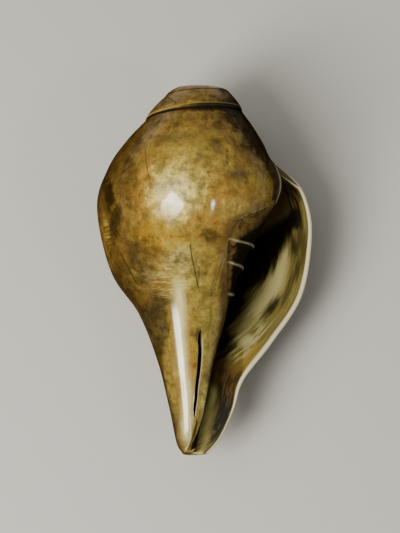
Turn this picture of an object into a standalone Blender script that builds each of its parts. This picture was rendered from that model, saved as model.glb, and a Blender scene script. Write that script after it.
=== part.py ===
"""Conch shell horn: one heavy polished sea-snail shell whose spire tip is ground off to a blowing mouth.

Run with: blender --background --python part.py

The shell is worked out about its own coiling axis. A point is given by its age in turns (0 at the lip of
the mouth opening, -1 one turn earlier), its radius from the axis and its height above the canal tip. The
grown shell is then laid in the pose in which it rests on a flat surface, with its opening upwards.
"""

import math

import bmesh
import bpy
import numpy as np
from mathutils import Matrix, Vector

MM = 0.001

# ---- driving dimensions, in millimetres, degrees and turns ----

# Growth
SHELL_HEIGHT = 150.0  # canal tip to ground apex
GROWTH_PER_TURN = 1.62  # how much bigger one turn is than the turn before it
SPIRAL_APEX = 156.0  # height of the point that the spiral shrinks towards
LIP_ANGLE = -12.0  # direction of the lip about the axis, measured from the level
OLDEST_TURN = -3.4  # where the worn spire begins, under the ground face
SUTURE_GROWTH = 1.45  # growth of the suture's radius on the worn spire
SPIRE_CROWN = 150.5  # height that the worn spire closes to
SPIRE_FLATNESS = 4.5  # power of the worn spire's dome
BAND_BULGE = 0.17  # swelling of an old turn above the next suture, as a share of the strip's width
SUTURE_DEPTH = 0.5  # groove along the suture

# The hollow
LIP_WALL = 1.8  # thickness of the wall at the lip
INNER_WALL = 2.2  # how much thicker the wall gets inside
WALL_THICKENS_OVER = 0.18  # turns behind the lip
CHANNEL_OLDEST = -2.6  # how far up the spire the hollow reaches
OPENING_SWEEP = 0.24  # turns past the lip over which the opening is cut clear of the front
CALLUS_PAD = 3.6  # width of the shelf between the body and the top of the opening
CALLUS_PLACE = 2.6  # its middle, counted along the section
CALLUS_SPREAD = 0.75
GLAZE_DEPTH = 0.35  # step from the outer surface down to the inner lip
GLAZE_TURN = 0.185  # where the inner lip ends on the front of the body
CLEARANCE = 1.6  # how far the opening's cut stands off the body past the inner lip

# Folds on the columella
FOLD_PLACES = (4.9, 5.35, 5.8)
FOLD_HEIGHT = 1.8
FOLD_WIDTH = 0.12

# Blowing mouth
GROUND_HEIGHT = 149.6  # the flat face ground across the apex
BLOW_HOLE_RADIUS = 3.8
THROAT_RADIUS = 6.4  # where the drilled hole opens into the hollow
THROAT_TOP = 138.0
THROAT_BOTTOM = 127.0

# Slit beside the columella, at the front of the canal
SLIT_LOW, SLIT_HIGH = 21.0, 51.0
SLIT_WIDTH, SLIT_DEPTH = 1.5, 6.4
SLIT_LEAN = 4.5  # degrees that it leans towards the opening

# Resting pose
CANAL_DROOP = 7.0  # degrees that the canal end lies lower
ROLL = 3.0  # degrees that the shell rolls towards its left side
WORN_FLAT = 1.1  # depth of the flat worn under the body, where it lies

# Fineness
ROWS_PER_TURN = 36
STEPS_PER_POINT = 3
CHANNEL_ROWS_PER_TURN = 24
SHARP_ANGLE = 35.0  # edges sharper than this are not smoothed over

# Half-sections of the last turn, as (radius, height), from the suture down to the canal tip: suture,
# upper shoulder, shoulder, widest, lower body, slope, neck, canal, canal end, tip.
SECTION_AT_LIP = (
    (27.4, 123.4), (41.2, 114.0), (46.7, 104.6), (48.6, 90.0), (44.6, 66.0),
    (31.9, 46.2), (20.1, 31.0), (16.4, 19.0), (11.2, 7.4), (6.0, 0.8),
)
SECTION_HALF_TURN_BACK = (
    (22.0, 135.8), (29.6, 127.3), (36.5, 116.5), (40.6, 100.3), (34.4, 75.6),
    (23.0, 59.4), (15.3, 40.2), (9.8, 20.7), (6.6, 6.1), (4.0, 0.8),
)
SECTION_ONE_TURN_BACK = (
    (17.2, 140.0), (23.0, 132.0), (27.4, 123.4), (30.8, 109.5), (28.0, 96.5),
    (21.0, 82.0), (14.4, 62.9), (8.3, 42.6), (4.6, 22.3), (1.4, 6.1),
)
LIP_SUTURE_POINT = 2  # where the lip meets the section one turn back
LAST_POINT = len(SECTION_AT_LIP) - 1

# Where the hollow's outer and inner sides start and end along the section, and how many steps they take
HOLLOW_OUTER = (1.3, 8.7, 17)
CORNER_RETREAT = 0.7  # how far the outer side's start moves down the section further inside
HOLLOW_INNER = (2.55, 9.0, 19)
CANAL_MOUTH = ((7.5, -8.0), (1.0, -8.0))  # the hollow's end beyond the canal tip

SHELL_COLOUR = (0.32, 0.20, 0.075, 1.0)
SHELL_ROUGHNESS = 0.25


def smooth_step(low, high, value):
    """0 below low, 1 above high, with a smooth change between them."""
    share = np.clip((value - low) / (high - low), 0.0, 1.0)
    return share * share * (3.0 - 2.0 * share)


def hump(middle, spread, value):
    """1 at the middle, falling smoothly to 0 on both sides."""
    return np.exp(-(((value - middle) / spread) ** 2))


def spline(points, places):
    """Catmull-Rom curve through the points, read at places counted in points."""
    points = np.asarray(points, dtype=float)
    padded = np.vstack([2 * points[0] - points[1], points, 2 * points[-1] - points[-2]])
    first = np.minimum(places.astype(int), len(points) - 2)
    share = (places - first)[:, None]
    before, start, end, after = (padded[first + k] for k in range(4))
    leave = (end - before) / 2
    arrive = (after - start) / 2
    square, cube = share**2, share**3
    return (
        (2 * cube - 3 * square + 1) * start
        + (cube - 2 * square + share) * leave
        + (3 * square - 2 * cube) * end
        + (cube - square) * arrive
    )


def offset(points, amount):
    """Section points moved away from the axis side (positive) along their normals."""
    along = np.gradient(points, axis=0)
    along /= np.linalg.norm(along, axis=1)[:, None]
    normal = np.column_stack((-along[:, 1], along[:, 0]))
    return points + normal * np.reshape(amount, (-1, 1))


def carried_back(turn, points):
    """Points of the newest turn carried back along the spiral to an age."""
    apex = np.array((0.0, SPIRAL_APEX))
    return apex + (np.asarray(points) - apex) * GROWTH_PER_TURN**turn


def section_points(turn):
    """Control points of the outer section at an age from -1 to 0, from the three that are given."""
    older = 1 + turn
    shares = ((1 - older) * (1 - 2 * older), 4 * older * (1 - older), older * (2 * older - 1))
    given = (SECTION_ONE_TURN_BACK, SECTION_HALF_TURN_BACK, SECTION_AT_LIP)
    return sum(share * np.array(points) for share, points in zip(shares, given))


def section(turn, places):
    """Points of the outer section at an age from -1 to 0."""
    return spline(section_points(turn), places)


def callus(places):
    """Width of the shelf that the shell lays down between the body and the top of the opening."""
    return CALLUS_PAD * hump(CALLUS_PLACE, CALLUS_SPREAD, places)


def suture(turn):
    """Radius and height of the suture at an age."""
    if turn >= -1:
        return section_points(turn)[0]
    radius, height = SECTION_ONE_TURN_BACK[0]
    shrink = SUTURE_GROWTH ** (turn + 1)
    return np.array((radius * shrink, SPIRE_CROWN - (SPIRE_CROWN - height) * shrink**SPIRE_FLATNESS))


def spire_band(turn, places):
    """The strip of an old turn that shows between its suture and the next one."""
    newest = section(-1, places)
    chord = newest[-1] - newest[0]
    across = np.array((chord[1], -chord[0]))
    along_share = (newest - newest[0]) @ chord / (chord @ chord)
    out_share = (newest - newest[0]) @ across / (chord @ chord)
    swelling = BAND_BULGE * smooth_step(1.0, 1.35, -turn)
    out_share = out_share - swelling * along_share * (1 - along_share**10)
    top, bottom = suture(turn), suture(turn + 1)
    chord = bottom - top
    across = np.array((chord[1], -chord[0]))
    return top + along_share[:, None] * chord + out_share[:, None] * across


def in_space(turn, points):
    """(radius, height) points at an age, as x, y, z about the coiling axis, which runs along y."""
    angle = math.radians(LIP_ANGLE) + turn * math.tau
    radius, height = np.asarray(points).T
    return np.column_stack((radius * math.cos(angle), height, radius * math.sin(angle)))


def solid_from(name, points, faces):
    """A closed mesh object with its faces turned outwards."""
    mesh = bpy.data.meshes.new(name)
    mesh.from_pydata([tuple(point * MM) for point in points], [], faces)
    shape = bmesh.new()
    shape.from_mesh(mesh)
    bmesh.ops.triangulate(shape, faces=[face for face in shape.faces if len(face.verts) > 4])
    bmesh.ops.recalc_face_normals(shape, faces=shape.faces)
    shape.to_mesh(mesh)
    shape.free()
    return bpy.data.objects.new(name, mesh)


def strip_between(older, newer):
    """Faces that join two rows of points, as far as the shorter one goes."""
    steps = range(min(len(older), len(newer)) - 1)
    return [(older[k], newer[k], newer[k + 1], older[k + 1]) for k in steps]


def body_rows():
    """Rows of points down the outside, oldest first, each sharing its first point with the turn before it."""
    places = np.arange(LAST_POINT * STEPS_PER_POINT + 1) / STEPS_PER_POINT
    band = LIP_SUTURE_POINT * STEPS_PER_POINT
    spire_rows = round((-1 - OLDEST_TURN) * ROWS_PER_TURN)
    points, rows = [], []
    for row in range(spire_rows + ROWS_PER_TURN + 1):
        turn = (row - spire_rows) / ROWS_PER_TURN - 1
        if row < spire_rows:
            line = spire_band(turn, places[: band + 1])
        else:
            beside_lip = 1 - smooth_step(0.0, 0.06, turn + 1)
            line = section(turn, places)
            line = offset(line, 0.5 * beside_lip * callus(places) * (places > LIP_SUTURE_POINT))
        line[0] -= (SUTURE_DEPTH, 0.0)
        row_points = list(in_space(turn, line))
        shared = []
        if row >= ROWS_PER_TURN:
            shared = [rows[row - ROWS_PER_TURN][band]]
            points[shared[0]] = row_points.pop(0)
        rows.append(shared + list(range(len(points), len(points) + len(row_points))))
        points.extend(row_points)
    return points, rows, spire_rows, band


def grown_body():
    """The whole outer form, filled: the spire, the last turn, the step at the lip and both ends."""
    points, rows, spire_rows, band = body_rows()
    faces = []
    for older, newer in zip(rows, rows[1:]):
        faces.extend(strip_between(older, newer))
    lip, under_lip = rows[-1], rows[spire_rows]
    faces.append(lip + under_lip[:band:-1])
    tip_edge = [row[-1] for row in rows[spire_rows:]]
    top_edge = [row[0] for row in rows[: ROWS_PER_TURN + 1]] + rows[0][band - 1 : 0 : -1]
    for edge, height in ((tip_edge, 1.0), (top_edge, SPIRE_CROWN + 0.5)):
        hub = len(points)
        points.append(np.array((0.0, height, 0.0)))
        faces.extend((a, b, hub) for a, b in zip(edge, edge[1:] + edge[:1]))
    return solid_from("conch_shell", points, faces)


def folds(places):
    """Height of the folds along the columella."""
    return FOLD_HEIGHT * sum(hump(place, FOLD_WIDTH, places) for place in FOLD_PLACES)


def hollow_line(turn):
    """One closed line round the hollow at an age, as (radius, height) points."""
    inner_places = np.linspace(*HOLLOW_INNER)
    wall = LIP_WALL + INNER_WALL * smooth_step(0.0, WALL_THICKENS_OVER, -turn)
    start, end, steps = HOLLOW_OUTER
    start += CORNER_RETREAT * smooth_step(0.0, 0.4, -turn)
    outer = offset(section(0, np.linspace(start, end, steps)), -wall)
    if turn <= 0:
        inner = offset(section(-1, inner_places), callus(inner_places) + folds(inner_places))
        return carried_back(turn, np.vstack((outer, CANAL_MOUTH, inner[::-1])))
    glaze_ends = GLAZE_TURN * smooth_step(2.9, 4.3, inner_places)
    stand_off = -GLAZE_DEPTH + (GLAZE_DEPTH + CLEARANCE) * smooth_step(glaze_ends, glaze_ends + 0.03, turn)
    relief = (callus(inner_places) + folds(inner_places)) * (1 - smooth_step(0.0, 0.12, turn))
    inner = offset(section(turn - 1, inner_places), stand_off + relief)
    return np.vstack((outer * (1 + turn, 1.0), CANAL_MOUTH, inner[::-1]))


def hollow_cutter():
    """The channel that the animal lived in, as a closed tube that runs out through the opening."""
    first = round(CHANNEL_OLDEST * CHANNEL_ROWS_PER_TURN)
    last = round(OPENING_SWEEP * CHANNEL_ROWS_PER_TURN)
    points, rings = [], []
    for row in range(first, last + 1):
        turn = row / CHANNEL_ROWS_PER_TURN
        line = in_space(turn, hollow_line(turn))
        ring = list(range(len(points), len(points) + len(line)))
        rings.append(ring + ring[:1])
        points.extend(line)
    faces = [rings[0][:-1], rings[-1][:-1]]
    for older, newer in zip(rings, rings[1:]):
        faces.extend(strip_between(older, newer))
    return solid_from("hollow_cutter", points, faces)


def turned_cutter(name, profile, sides):
    """A solid turned about the coiling axis from a (radius, height) profile, listed top to bottom."""
    mesh = bpy.data.meshes.new(name)
    mesh.from_pydata([(radius * MM, 0.0, height * MM) for radius, height in profile],
                     [(k, k + 1) for k in range(len(profile) - 1)], [])
    turned = bpy.data.objects.new(name, mesh)
    screw = turned.modifiers.new("turn", "SCREW")
    screw.steps = screw.render_steps = sides
    screw.use_merge_vertices = True
    screw.merge_threshold = 0.00001
    turned.rotation_euler.x = -math.pi / 2
    return turned


def mouth_cutter():
    """The ground apex and the drilled hole, as one turned solid."""
    above = SPIRE_CROWN + 4.0
    profile = (
        (0.0, above), (THROAT_RADIUS * 4, above), (THROAT_RADIUS * 4, GROUND_HEIGHT),
        (BLOW_HOLE_RADIUS, GROUND_HEIGHT), (BLOW_HOLE_RADIUS, THROAT_TOP),
        (THROAT_RADIUS, THROAT_TOP - 4.0), (THROAT_RADIUS, THROAT_BOTTOM + 3.0), (0.0, THROAT_BOTTOM),
    )
    return turned_cutter("mouth_cutter", profile, 24)


def slit_cutter():
    """A lens-shaped blade that opens the slit beside the columella."""
    mesh = bpy.data.meshes.new("slit_cutter")
    shape = bmesh.new()
    bmesh.ops.create_uvsphere(shape, u_segments=12, v_segments=10, radius=1.0)
    half = Vector((SLIT_WIDTH, SLIT_HIGH - SLIT_LOW, SLIT_DEPTH)) * (MM / 2)
    bmesh.ops.rotate(shape, matrix=Matrix.Rotation(math.pi / 2, 3, "X"), verts=shape.verts)
    bmesh.ops.scale(shape, vec=half, verts=shape.verts)
    shape.to_mesh(mesh)
    shape.free()
    blade = bpy.data.objects.new("slit_cutter", mesh)
    middle = (SLIT_LOW + SLIT_HIGH) / 2
    front = section(-0.72, np.array([7.0]))[0][0]
    blade.location = (0.3 * MM, middle * MM, front * MM)
    blade.rotation_euler.z = math.radians(-SLIT_LEAN)
    return blade


def flat_cutter():
    """A block whose top is the flat worn under the body, level with the surface that the shell lies on."""
    side = SHELL_HEIGHT * MM
    mesh = bpy.data.meshes.new("flat_cutter")
    shape = bmesh.new()
    bmesh.ops.create_cube(shape, size=side)
    shape.to_mesh(mesh)
    shape.free()
    block = bpy.data.objects.new("flat_cutter", mesh)
    block.location.z = -side / 2
    return block


def shell_finish():
    """Polished, darkened shell."""
    finish = bpy.data.materials.new("polished_shell")
    finish.use_nodes = True
    shader = finish.node_tree.nodes["Principled BSDF"]
    shader.inputs["Base Color"].default_value = SHELL_COLOUR
    shader.inputs["Roughness"].default_value = SHELL_ROUGHNESS
    shader.inputs["Metallic"].default_value = 0.0
    return finish


def add_cut(body, cutter):
    """Takes the cutter's volume out of the body."""
    cut = body.modifiers.new(cutter.name, "BOOLEAN")
    cut.operation = "DIFFERENCE"
    cut.object = cutter
    cut.solver = "EXACT"
    cutter.hide_render = True
    cutter.display_type = "WIRE"


def corners(points):
    """Lowest and highest corner of the box round some points."""
    return [Vector(pick(axis) for axis in zip(*points)) for pick in (min, max)]


def lay_down(pose, body):
    """Turns the shell into its resting pose, the worn flat at height 0 and the box centred on the origin."""
    pose.rotation_euler = (math.radians(CANAL_DROOP), math.radians(-ROLL), 0.0)
    turned = pose.rotation_euler.to_matrix()
    lowest = corners([turned @ vertex.co for vertex in body.data.vertices])[0]
    pose.location.z = -lowest.z - WORN_FLAT * MM
    bpy.context.view_layer.update()
    cut_body = body.evaluated_get(bpy.context.evaluated_depsgraph_get())
    low, high = corners([cut_body.matrix_world @ vertex.co for vertex in cut_body.data.vertices])
    pose.location.x -= (low.x + high.x) / 2
    pose.location.y -= (low.y + high.y) / 2


def main():
    """Builds the shell, cuts it and lays it down."""
    for obj in list(bpy.data.objects):
        bpy.data.objects.remove(obj)
    shell_collection = bpy.data.collections.new("conch_shell_horn")
    cutter_collection = bpy.data.collections.new("cutters")
    for collection in (shell_collection, cutter_collection):
        bpy.context.scene.collection.children.link(collection)

    pose = bpy.data.objects.new("resting_pose", None)
    body = grown_body()
    body.data.materials.append(shell_finish())
    body.parent = pose
    for obj in (pose, body):
        shell_collection.objects.link(obj)
    shell_cutters = (hollow_cutter(), mouth_cutter(), slit_cutter())
    for cutter in shell_cutters:
        cutter.parent = pose
    for cutter in shell_cutters + (flat_cutter(),):
        cutter_collection.objects.link(cutter)
        add_cut(body, cutter)
    lay_down(pose, body)
    body.data.shade_smooth()
    body.data.set_sharp_from_angle(angle=math.radians(SHARP_ANGLE))


if __name__ == "__main__":
    main()
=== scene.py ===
"""Looks of the conch shell horn: one polished sea-snail shell with a ground blowing mouth, browner at its
flanks and darkened there by painted shade.
"""

import logging
import math
from dataclasses import dataclass, field
from enum import Enum

import bmesh
import bpy
import numpy as np
from mathutils import Euler, Matrix, Vector


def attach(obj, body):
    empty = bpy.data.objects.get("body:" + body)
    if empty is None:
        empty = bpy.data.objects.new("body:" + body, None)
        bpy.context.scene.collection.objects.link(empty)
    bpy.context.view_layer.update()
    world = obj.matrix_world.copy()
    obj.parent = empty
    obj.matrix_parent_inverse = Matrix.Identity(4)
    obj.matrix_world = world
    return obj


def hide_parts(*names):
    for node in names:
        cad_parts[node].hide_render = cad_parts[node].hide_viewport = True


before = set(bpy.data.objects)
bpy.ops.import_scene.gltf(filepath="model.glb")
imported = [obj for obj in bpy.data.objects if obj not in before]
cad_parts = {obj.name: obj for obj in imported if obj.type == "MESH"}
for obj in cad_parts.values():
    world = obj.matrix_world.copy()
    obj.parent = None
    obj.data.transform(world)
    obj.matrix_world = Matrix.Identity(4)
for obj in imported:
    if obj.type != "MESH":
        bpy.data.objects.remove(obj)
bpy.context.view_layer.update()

log = logging.getLogger("conch_shell_horn")

MM = 0.001
TAU = math.tau
FAR = 1e4  # stretches a patch so far through the shell that only its width and height count
Colour = tuple[float, float, float]


# ---------------------------------------------------------------- numbers and node trees


def smooth_step(low: float, high: float, value: np.ndarray | float) -> np.ndarray | float:
    """A smooth change from 0 to 1.

    Args:
        low: the value up to which the result is 0.
        high: the value from which the result is 1.
        value: where to read it.

    Returns:
        The share, from 0 to 1.
    """
    share = np.clip((value - low) / (high - low), 0.0, 1.0)
    return share * share * (3.0 - 2.0 * share)


def hump(middle: float, spread: float, value: np.ndarray | float) -> np.ndarray | float:
    """A rounded hump.

    Args:
        middle: where the hump is 1.
        spread: how far it reaches to each side.
        value: where to read it.

    Returns:
        The height, from 0 to 1.
    """
    return np.exp(-(((value - middle) / spread) ** 2))


def linked(name: str, data: bpy.types.ID) -> bpy.types.Object:
    """A new object in the scene.

    Args:
        name: its name.
        data: its mesh, light or camera.

    Returns:
        The object.
    """
    thing = bpy.data.objects.new(name, data)
    bpy.context.scene.collection.objects.link(thing)
    return thing


class Reading:
    """A socket's value, with operators that add Math or Vector Math nodes to its tree."""

    def __init__(self, draft: "Draft", socket: bpy.types.NodeSocket) -> None:
        """Wraps one output socket of a draft's tree."""
        self.draft = draft
        self.socket = socket

    def sum_up(self, operation: str, *others: "Reading | float | tuple") -> "Reading":
        """Adds the node that works on this value first and the others after it.

        Args:
            operation: the node's operation.
            *others: the values of its further sockets.

        Returns:
            The result.
        """
        kind = "ShaderNodeVectorMath" if self.socket.type == "VECTOR" else "ShaderNodeMath"
        return self.draft.add(kind, {"operation": operation}, dict(enumerate((self, *others))))

    def reflected(self, operation: str, first: "Reading | float") -> "Reading":
        """The same, for an operation whose first value is the other one."""
        return self.draft.add("ShaderNodeMath", {"operation": operation}, {0: first, 1: self})

    def __add__(self, other: "Reading | float") -> "Reading":
        """The sum."""
        return self.sum_up("ADD", other)

    def __sub__(self, other: "Reading | float") -> "Reading":
        """The difference."""
        return self.sum_up("SUBTRACT", other)

    def __mul__(self, other: "Reading | float") -> "Reading":
        """The product."""
        return self.sum_up("MULTIPLY", other)

    def __truediv__(self, other: "Reading | float") -> "Reading":
        """The quotient."""
        return self.sum_up("DIVIDE", other)

    def __pow__(self, other: "Reading | float") -> "Reading":
        """This value to a power."""
        return self.sum_up("POWER", other)

    def __rsub__(self, other: float) -> "Reading":
        """A number less this value."""
        return self.reflected("SUBTRACT", other)

    def __rtruediv__(self, other: float) -> "Reading":
        """A number over this value."""
        return self.reflected("DIVIDE", other)

    def __rpow__(self, other: "Reading | float") -> "Reading":
        """A number to the power of this value."""
        return self.reflected("POWER", other)

    __radd__ = __add__
    __rmul__ = __mul__

    def part(self, axis: str) -> "Reading":
        """One of a vector's parts, X, Y or Z."""
        return self.draft.add("ShaderNodeSeparateXYZ", {}, {0: self}, axis)

    def between(self, low: float, high: float) -> "Reading":
        """A smooth 0 to 1 as this value goes from low to high.

        Args:
            low: the value that gives 0, which may be the larger one.
            high: the value that gives 1.

        Returns:
            The share.
        """
        start, end, ends = (low, high, (0.0, 1.0)) if low < high else (high, low, (1.0, 0.0))
        return self.draft.add(
            "ShaderNodeMapRange", {"interpolation_type": "SMOOTHSTEP"},
            {"Value": self, "From Min": start, "From Max": end, "To Min": ends[0], "To Max": ends[1]},
        )

    def hump(self, middle: "Reading | float", spread: float) -> "Reading":
        """A rounded hump of height 1 where this value is at the middle."""
        off = (self - middle) * (1.0 / spread)
        return math.e ** (off * off * -1.0)


class Draft:
    """Adds nodes to one node tree, for a shape or for a finish."""

    def __init__(self, tree: bpy.types.NodeTree) -> None:
        """Starts on an empty or cleared tree."""
        self.tree = tree

    def feed(self, socket: bpy.types.NodeSocket, value: object) -> None:
        """Gives an input socket its value, or its link.

        Args:
            socket: the input socket.
            value: a number, colour, vector, name, or a Reading to link.
        """
        if isinstance(value, Reading):
            self.tree.links.new(value.socket, socket)
        elif socket.type == "RGBA" and len(value) == 3:
            socket.default_value = (*value, 1.0)
        else:
            socket.default_value = value

    def add(self, kind: str, settings: dict | None = None, values: dict | None = None,
            output: str | int = 0) -> Reading:
        """Adds any node.

        Args:
            kind: the node's type.
            settings: its own settings, such as its operation, set first.
            values: its sockets' values or links, by name or number.
            output: the output to read, by name or number.

        Returns:
            The output.
        """
        node = self.tree.nodes.new(kind)
        for name, setting in (settings or {}).items():
            setattr(node, name, setting)
        for name, value in (values or {}).items():
            self.feed(node.inputs[name], value)
        outputs = [socket for socket in node.outputs if socket.enabled]
        if isinstance(output, int):
            return Reading(self, outputs[output])
        return Reading(self, next(socket for socket in outputs if socket.name == output))

    def curve(self, value: Reading, path: tuple) -> Reading:
        """A smooth curve through points, read at a value.

        Args:
            value: where to read it.
            path: its (value, result) points, in rising order.

        Returns:
            The result.
        """
        starts, results = zip(*path)
        low, span = starts[0], starts[-1] - starts[0]
        least, rise = min(results), (max(results) - min(results)) or 1.0
        node = self.add("ShaderNodeFloatCurve", {}, {"Value": (value - low) * (1 / span)})
        mapping = node.socket.node.mapping
        points = mapping.curves[0].points
        while len(points) < len(path):
            points.new(0.5, 0.5)
        for point, (start, result) in zip(points, path):
            point.location = ((start - low) / span, (result - least) / rise)
        mapping.update()
        return node * rise + least

    def vector(self, x: object, y: object, z: object) -> Reading:
        """A vector from its three parts."""
        return self.add("ShaderNodeCombineXYZ", {}, {0: x, 1: y, 2: z})


# ---------------------------------------------------------------- how the shell grows


class Side(Enum):
    """The surface that a face belongs to."""

    OUTSIDE = 0
    HOLLOW = 1
    CUT = 2


@dataclass(frozen=True)
class GrowthRule:
    """The coil about its own axis, in millimetres and turns: 0 at the lip, -1 one turn earlier.

    A place counts down the section: 0 the suture, 1 the upper shoulder, 2 the shoulder, 3 the widest
    place, 4 the lower body, 5 the slope, 6 the neck, 7 the canal, 8 its end and 9 the tip.
    """

    growth_per_turn: float = 1.62
    spiral_apex: float = 156.0
    lip_angle: float = -12.0
    suture_growth: float = 1.45
    spire_crown: float = 150.5
    spire_flatness: float = 4.5
    band_bulge: float = 0.05
    bulge_sets_in: tuple = (1.0, 1.35)
    at_lip: tuple = (
        (27.4, 123.4), (41.2, 114.0), (46.7, 104.6), (48.6, 90.0), (44.7, 66.0),
        (32.3, 46.2), (20.9, 31.0), (17.0, 19.0), (11.8, 7.4), (6.4, 0.8),
    )
    half_turn_back: tuple = (
        (22.0, 135.8), (29.6, 127.3), (36.5, 116.5), (40.6, 100.3), (34.4, 75.6),
        (23.0, 59.4), (15.3, 40.2), (9.8, 20.7), (6.6, 6.1), (4.0, 0.8),
    )
    one_turn_back: tuple = (
        (17.2, 140.0), (23.0, 132.0), (27.4, 123.4), (30.8, 109.5), (28.0, 96.5),
        (21.0, 82.0), (14.4, 62.9), (8.3, 42.6), (4.6, 22.3), (1.4, 6.1),
    )

    @property
    def last_place(self) -> int:
        """The tip's place."""
        return len(self.at_lip) - 1

    @staticmethod
    def spline(points: np.ndarray, places: np.ndarray) -> np.ndarray:
        """A smooth curve through points.

        Args:
            points: the points that it passes through.
            places: where to read it, counted in points.

        Returns:
            One point for each place.
        """
        padded = np.vstack([2 * points[0] - points[1], points, 2 * points[-1] - points[-2]])
        first = np.minimum(places.astype(int), len(points) - 2)
        share = (places - first)[:, None]
        before, start, end, after = (padded[first + k] for k in range(4))
        leave, arrive = (end - before) / 2, (after - start) / 2
        square, cube = share**2, share**3
        return (
            (2 * cube - 3 * square + 1) * start
            + (cube - 2 * square + share) * leave
            + (3 * square - 2 * cube) * end
            + (cube - square) * arrive
        )

    @staticmethod
    def offset(points: np.ndarray, amount: np.ndarray | float) -> np.ndarray:
        """Points moved out along their normals.

        Args:
            points: a line of (radius, height) points.
            amount: how far each moves, away from the axis side.

        Returns:
            The moved points.
        """
        along = np.gradient(points, axis=0)
        along /= np.linalg.norm(along, axis=1)[:, None]
        normal = np.column_stack((-along[:, 1], along[:, 0]))
        return points + normal * np.reshape(amount, (-1, 1))

    def given_points(self, turn: float) -> np.ndarray:
        """The section's given points.

        Args:
            turn: the age, from -1 to 0.

        Returns:
            Their (radius, height).
        """
        older = 1 + turn
        shares = ((1 - older) * (1 - 2 * older), 4 * older * (1 - older), older * (2 * older - 1))
        ages = (self.one_turn_back, self.half_turn_back, self.at_lip)
        return sum(share * np.array(points) for share, points in zip(shares, ages))

    def section(self, turn: float, places: np.ndarray) -> np.ndarray:
        """The outer section at an age from -1 to 0, read at places."""
        return self.spline(self.given_points(turn), places)

    def carried(self, points: np.ndarray, turns: np.ndarray | float) -> np.ndarray:
        """Points carried along the spiral.

        Args:
            points: their (radius, height).
            turns: how many turns, for all or for each.

        Returns:
            The carried points.
        """
        apex = np.array((0.0, self.spiral_apex))
        grown = np.reshape(self.growth_per_turn ** np.asarray(turns, dtype=float), (-1, 1))
        return apex + (points - apex) * grown

    def suture(self, turn: float) -> np.ndarray:
        """The suture's place.

        Args:
            turn: the age.

        Returns:
            Its radius and height.
        """
        if turn >= -1:
            return self.given_points(turn)[0]
        radius, height = self.one_turn_back[0]
        shrink = self.suture_growth ** (turn + 1)
        drop = (self.spire_crown - height) * shrink**self.spire_flatness
        return np.array((radius * shrink, self.spire_crown - drop))

    def spire_band(self, turn: float, places: np.ndarray) -> np.ndarray:
        """The strip of an old turn that shows between its suture and the next one.

        Args:
            turn: the age, below -1.
            places: where to read it, from the suture down to the next one.

        Returns:
            Its (radius, height) points.
        """
        newest = self.section(-1, places)
        chord = newest[-1] - newest[0]
        across = np.array((chord[1], -chord[0]))
        along_share = (newest - newest[0]) @ chord / (chord @ chord)
        out_share = (newest - newest[0]) @ across / (chord @ chord)
        swelling = self.band_bulge * smooth_step(*self.bulge_sets_in, -turn)
        out_share = out_share - swelling * along_share * (1 - along_share**10)
        top, bottom = self.suture(turn), self.suture(turn + 1)
        chord = bottom - top
        across = np.array((chord[1], -chord[0]))
        return top + along_share[:, None] * chord + out_share[:, None] * across


@dataclass
class Seed:
    """Points and faces of one closed form before the shape tree coils it: each point has an age."""

    name: str
    side: Side
    points: list = field(default_factory=list)
    turns: list = field(default_factory=list)
    places: list = field(default_factory=list)
    faces: list = field(default_factory=list)
    cut_faces: set = field(default_factory=set)

    def row(self, points: np.ndarray, turns: np.ndarray | float, places: np.ndarray | float) -> list[int]:
        """Adds a row of points.

        Args:
            points: their (radius, height), at their real size.
            turns: their age, one for all or one each.
            places: their place down the section.

        Returns:
            Their numbers.
        """
        first = len(self.points)
        count = len(points)
        self.points.extend(np.asarray(points, dtype=float))
        self.turns.extend(np.broadcast_to(turns, count))
        self.places.extend(np.broadcast_to(places, count))
        return list(range(first, first + count))

    def join(self, older: list[int], newer: list[int]) -> None:
        """Adds the faces between two rows, as far as the shorter one goes."""
        steps = range(min(len(older), len(newer)) - 1)
        self.faces.extend((older[k], newer[k], newer[k + 1], older[k + 1]) for k in steps)

    def cap(self, edge: list[int], cut: bool = True) -> None:
        """Closes an edge with one face.

        Args:
            edge: the numbers of its points.
            cut: whether the face belongs to the cut surfaces.
        """
        if cut:
            self.cut_faces.add(len(self.faces))
        self.faces.append(tuple(edge))

    def fan(self, edge: list[int], hub: tuple[float, float], turn: float, place: float) -> None:
        """Closes an edge with triangles that meet in a new point.

        Args:
            edge: the numbers of its points.
            hub: the new point's radius and height.
            turn: its age.
            place: its place.
        """
        middle = self.row(np.array([hub]), turn, place)[0]
        self.faces.extend((a, b, middle) for a, b in zip(edge, edge[1:] + edge[:1]))

    def planted(self, rule: GrowthRule) -> bpy.types.Object:
        """Makes the seed's object, every point carried forward to the newest turn.

        Args:
            rule: the growth that the shape tree will undo and coil.

        Returns:
            The object.
        """
        turns = np.array(self.turns)
        flat = rule.carried(np.array(self.points), -turns) * MM
        mesh = bpy.data.meshes.new(self.name)
        mesh.from_pydata([(radius, height, 0.0) for radius, height in flat], [], self.faces)
        sides = [Side.CUT.value if k in self.cut_faces else self.side.value for k in range(len(self.faces))]
        for name, kind, domain, values in (
            ("turn", "FLOAT", "POINT", turns), ("place", "FLOAT", "POINT", self.places),
            ("side", "INT", "FACE", sides),
        ):
            mesh.attributes.new(name, kind, domain).data.foreach_set("value", values)
        return linked(self.name, mesh)


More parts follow.
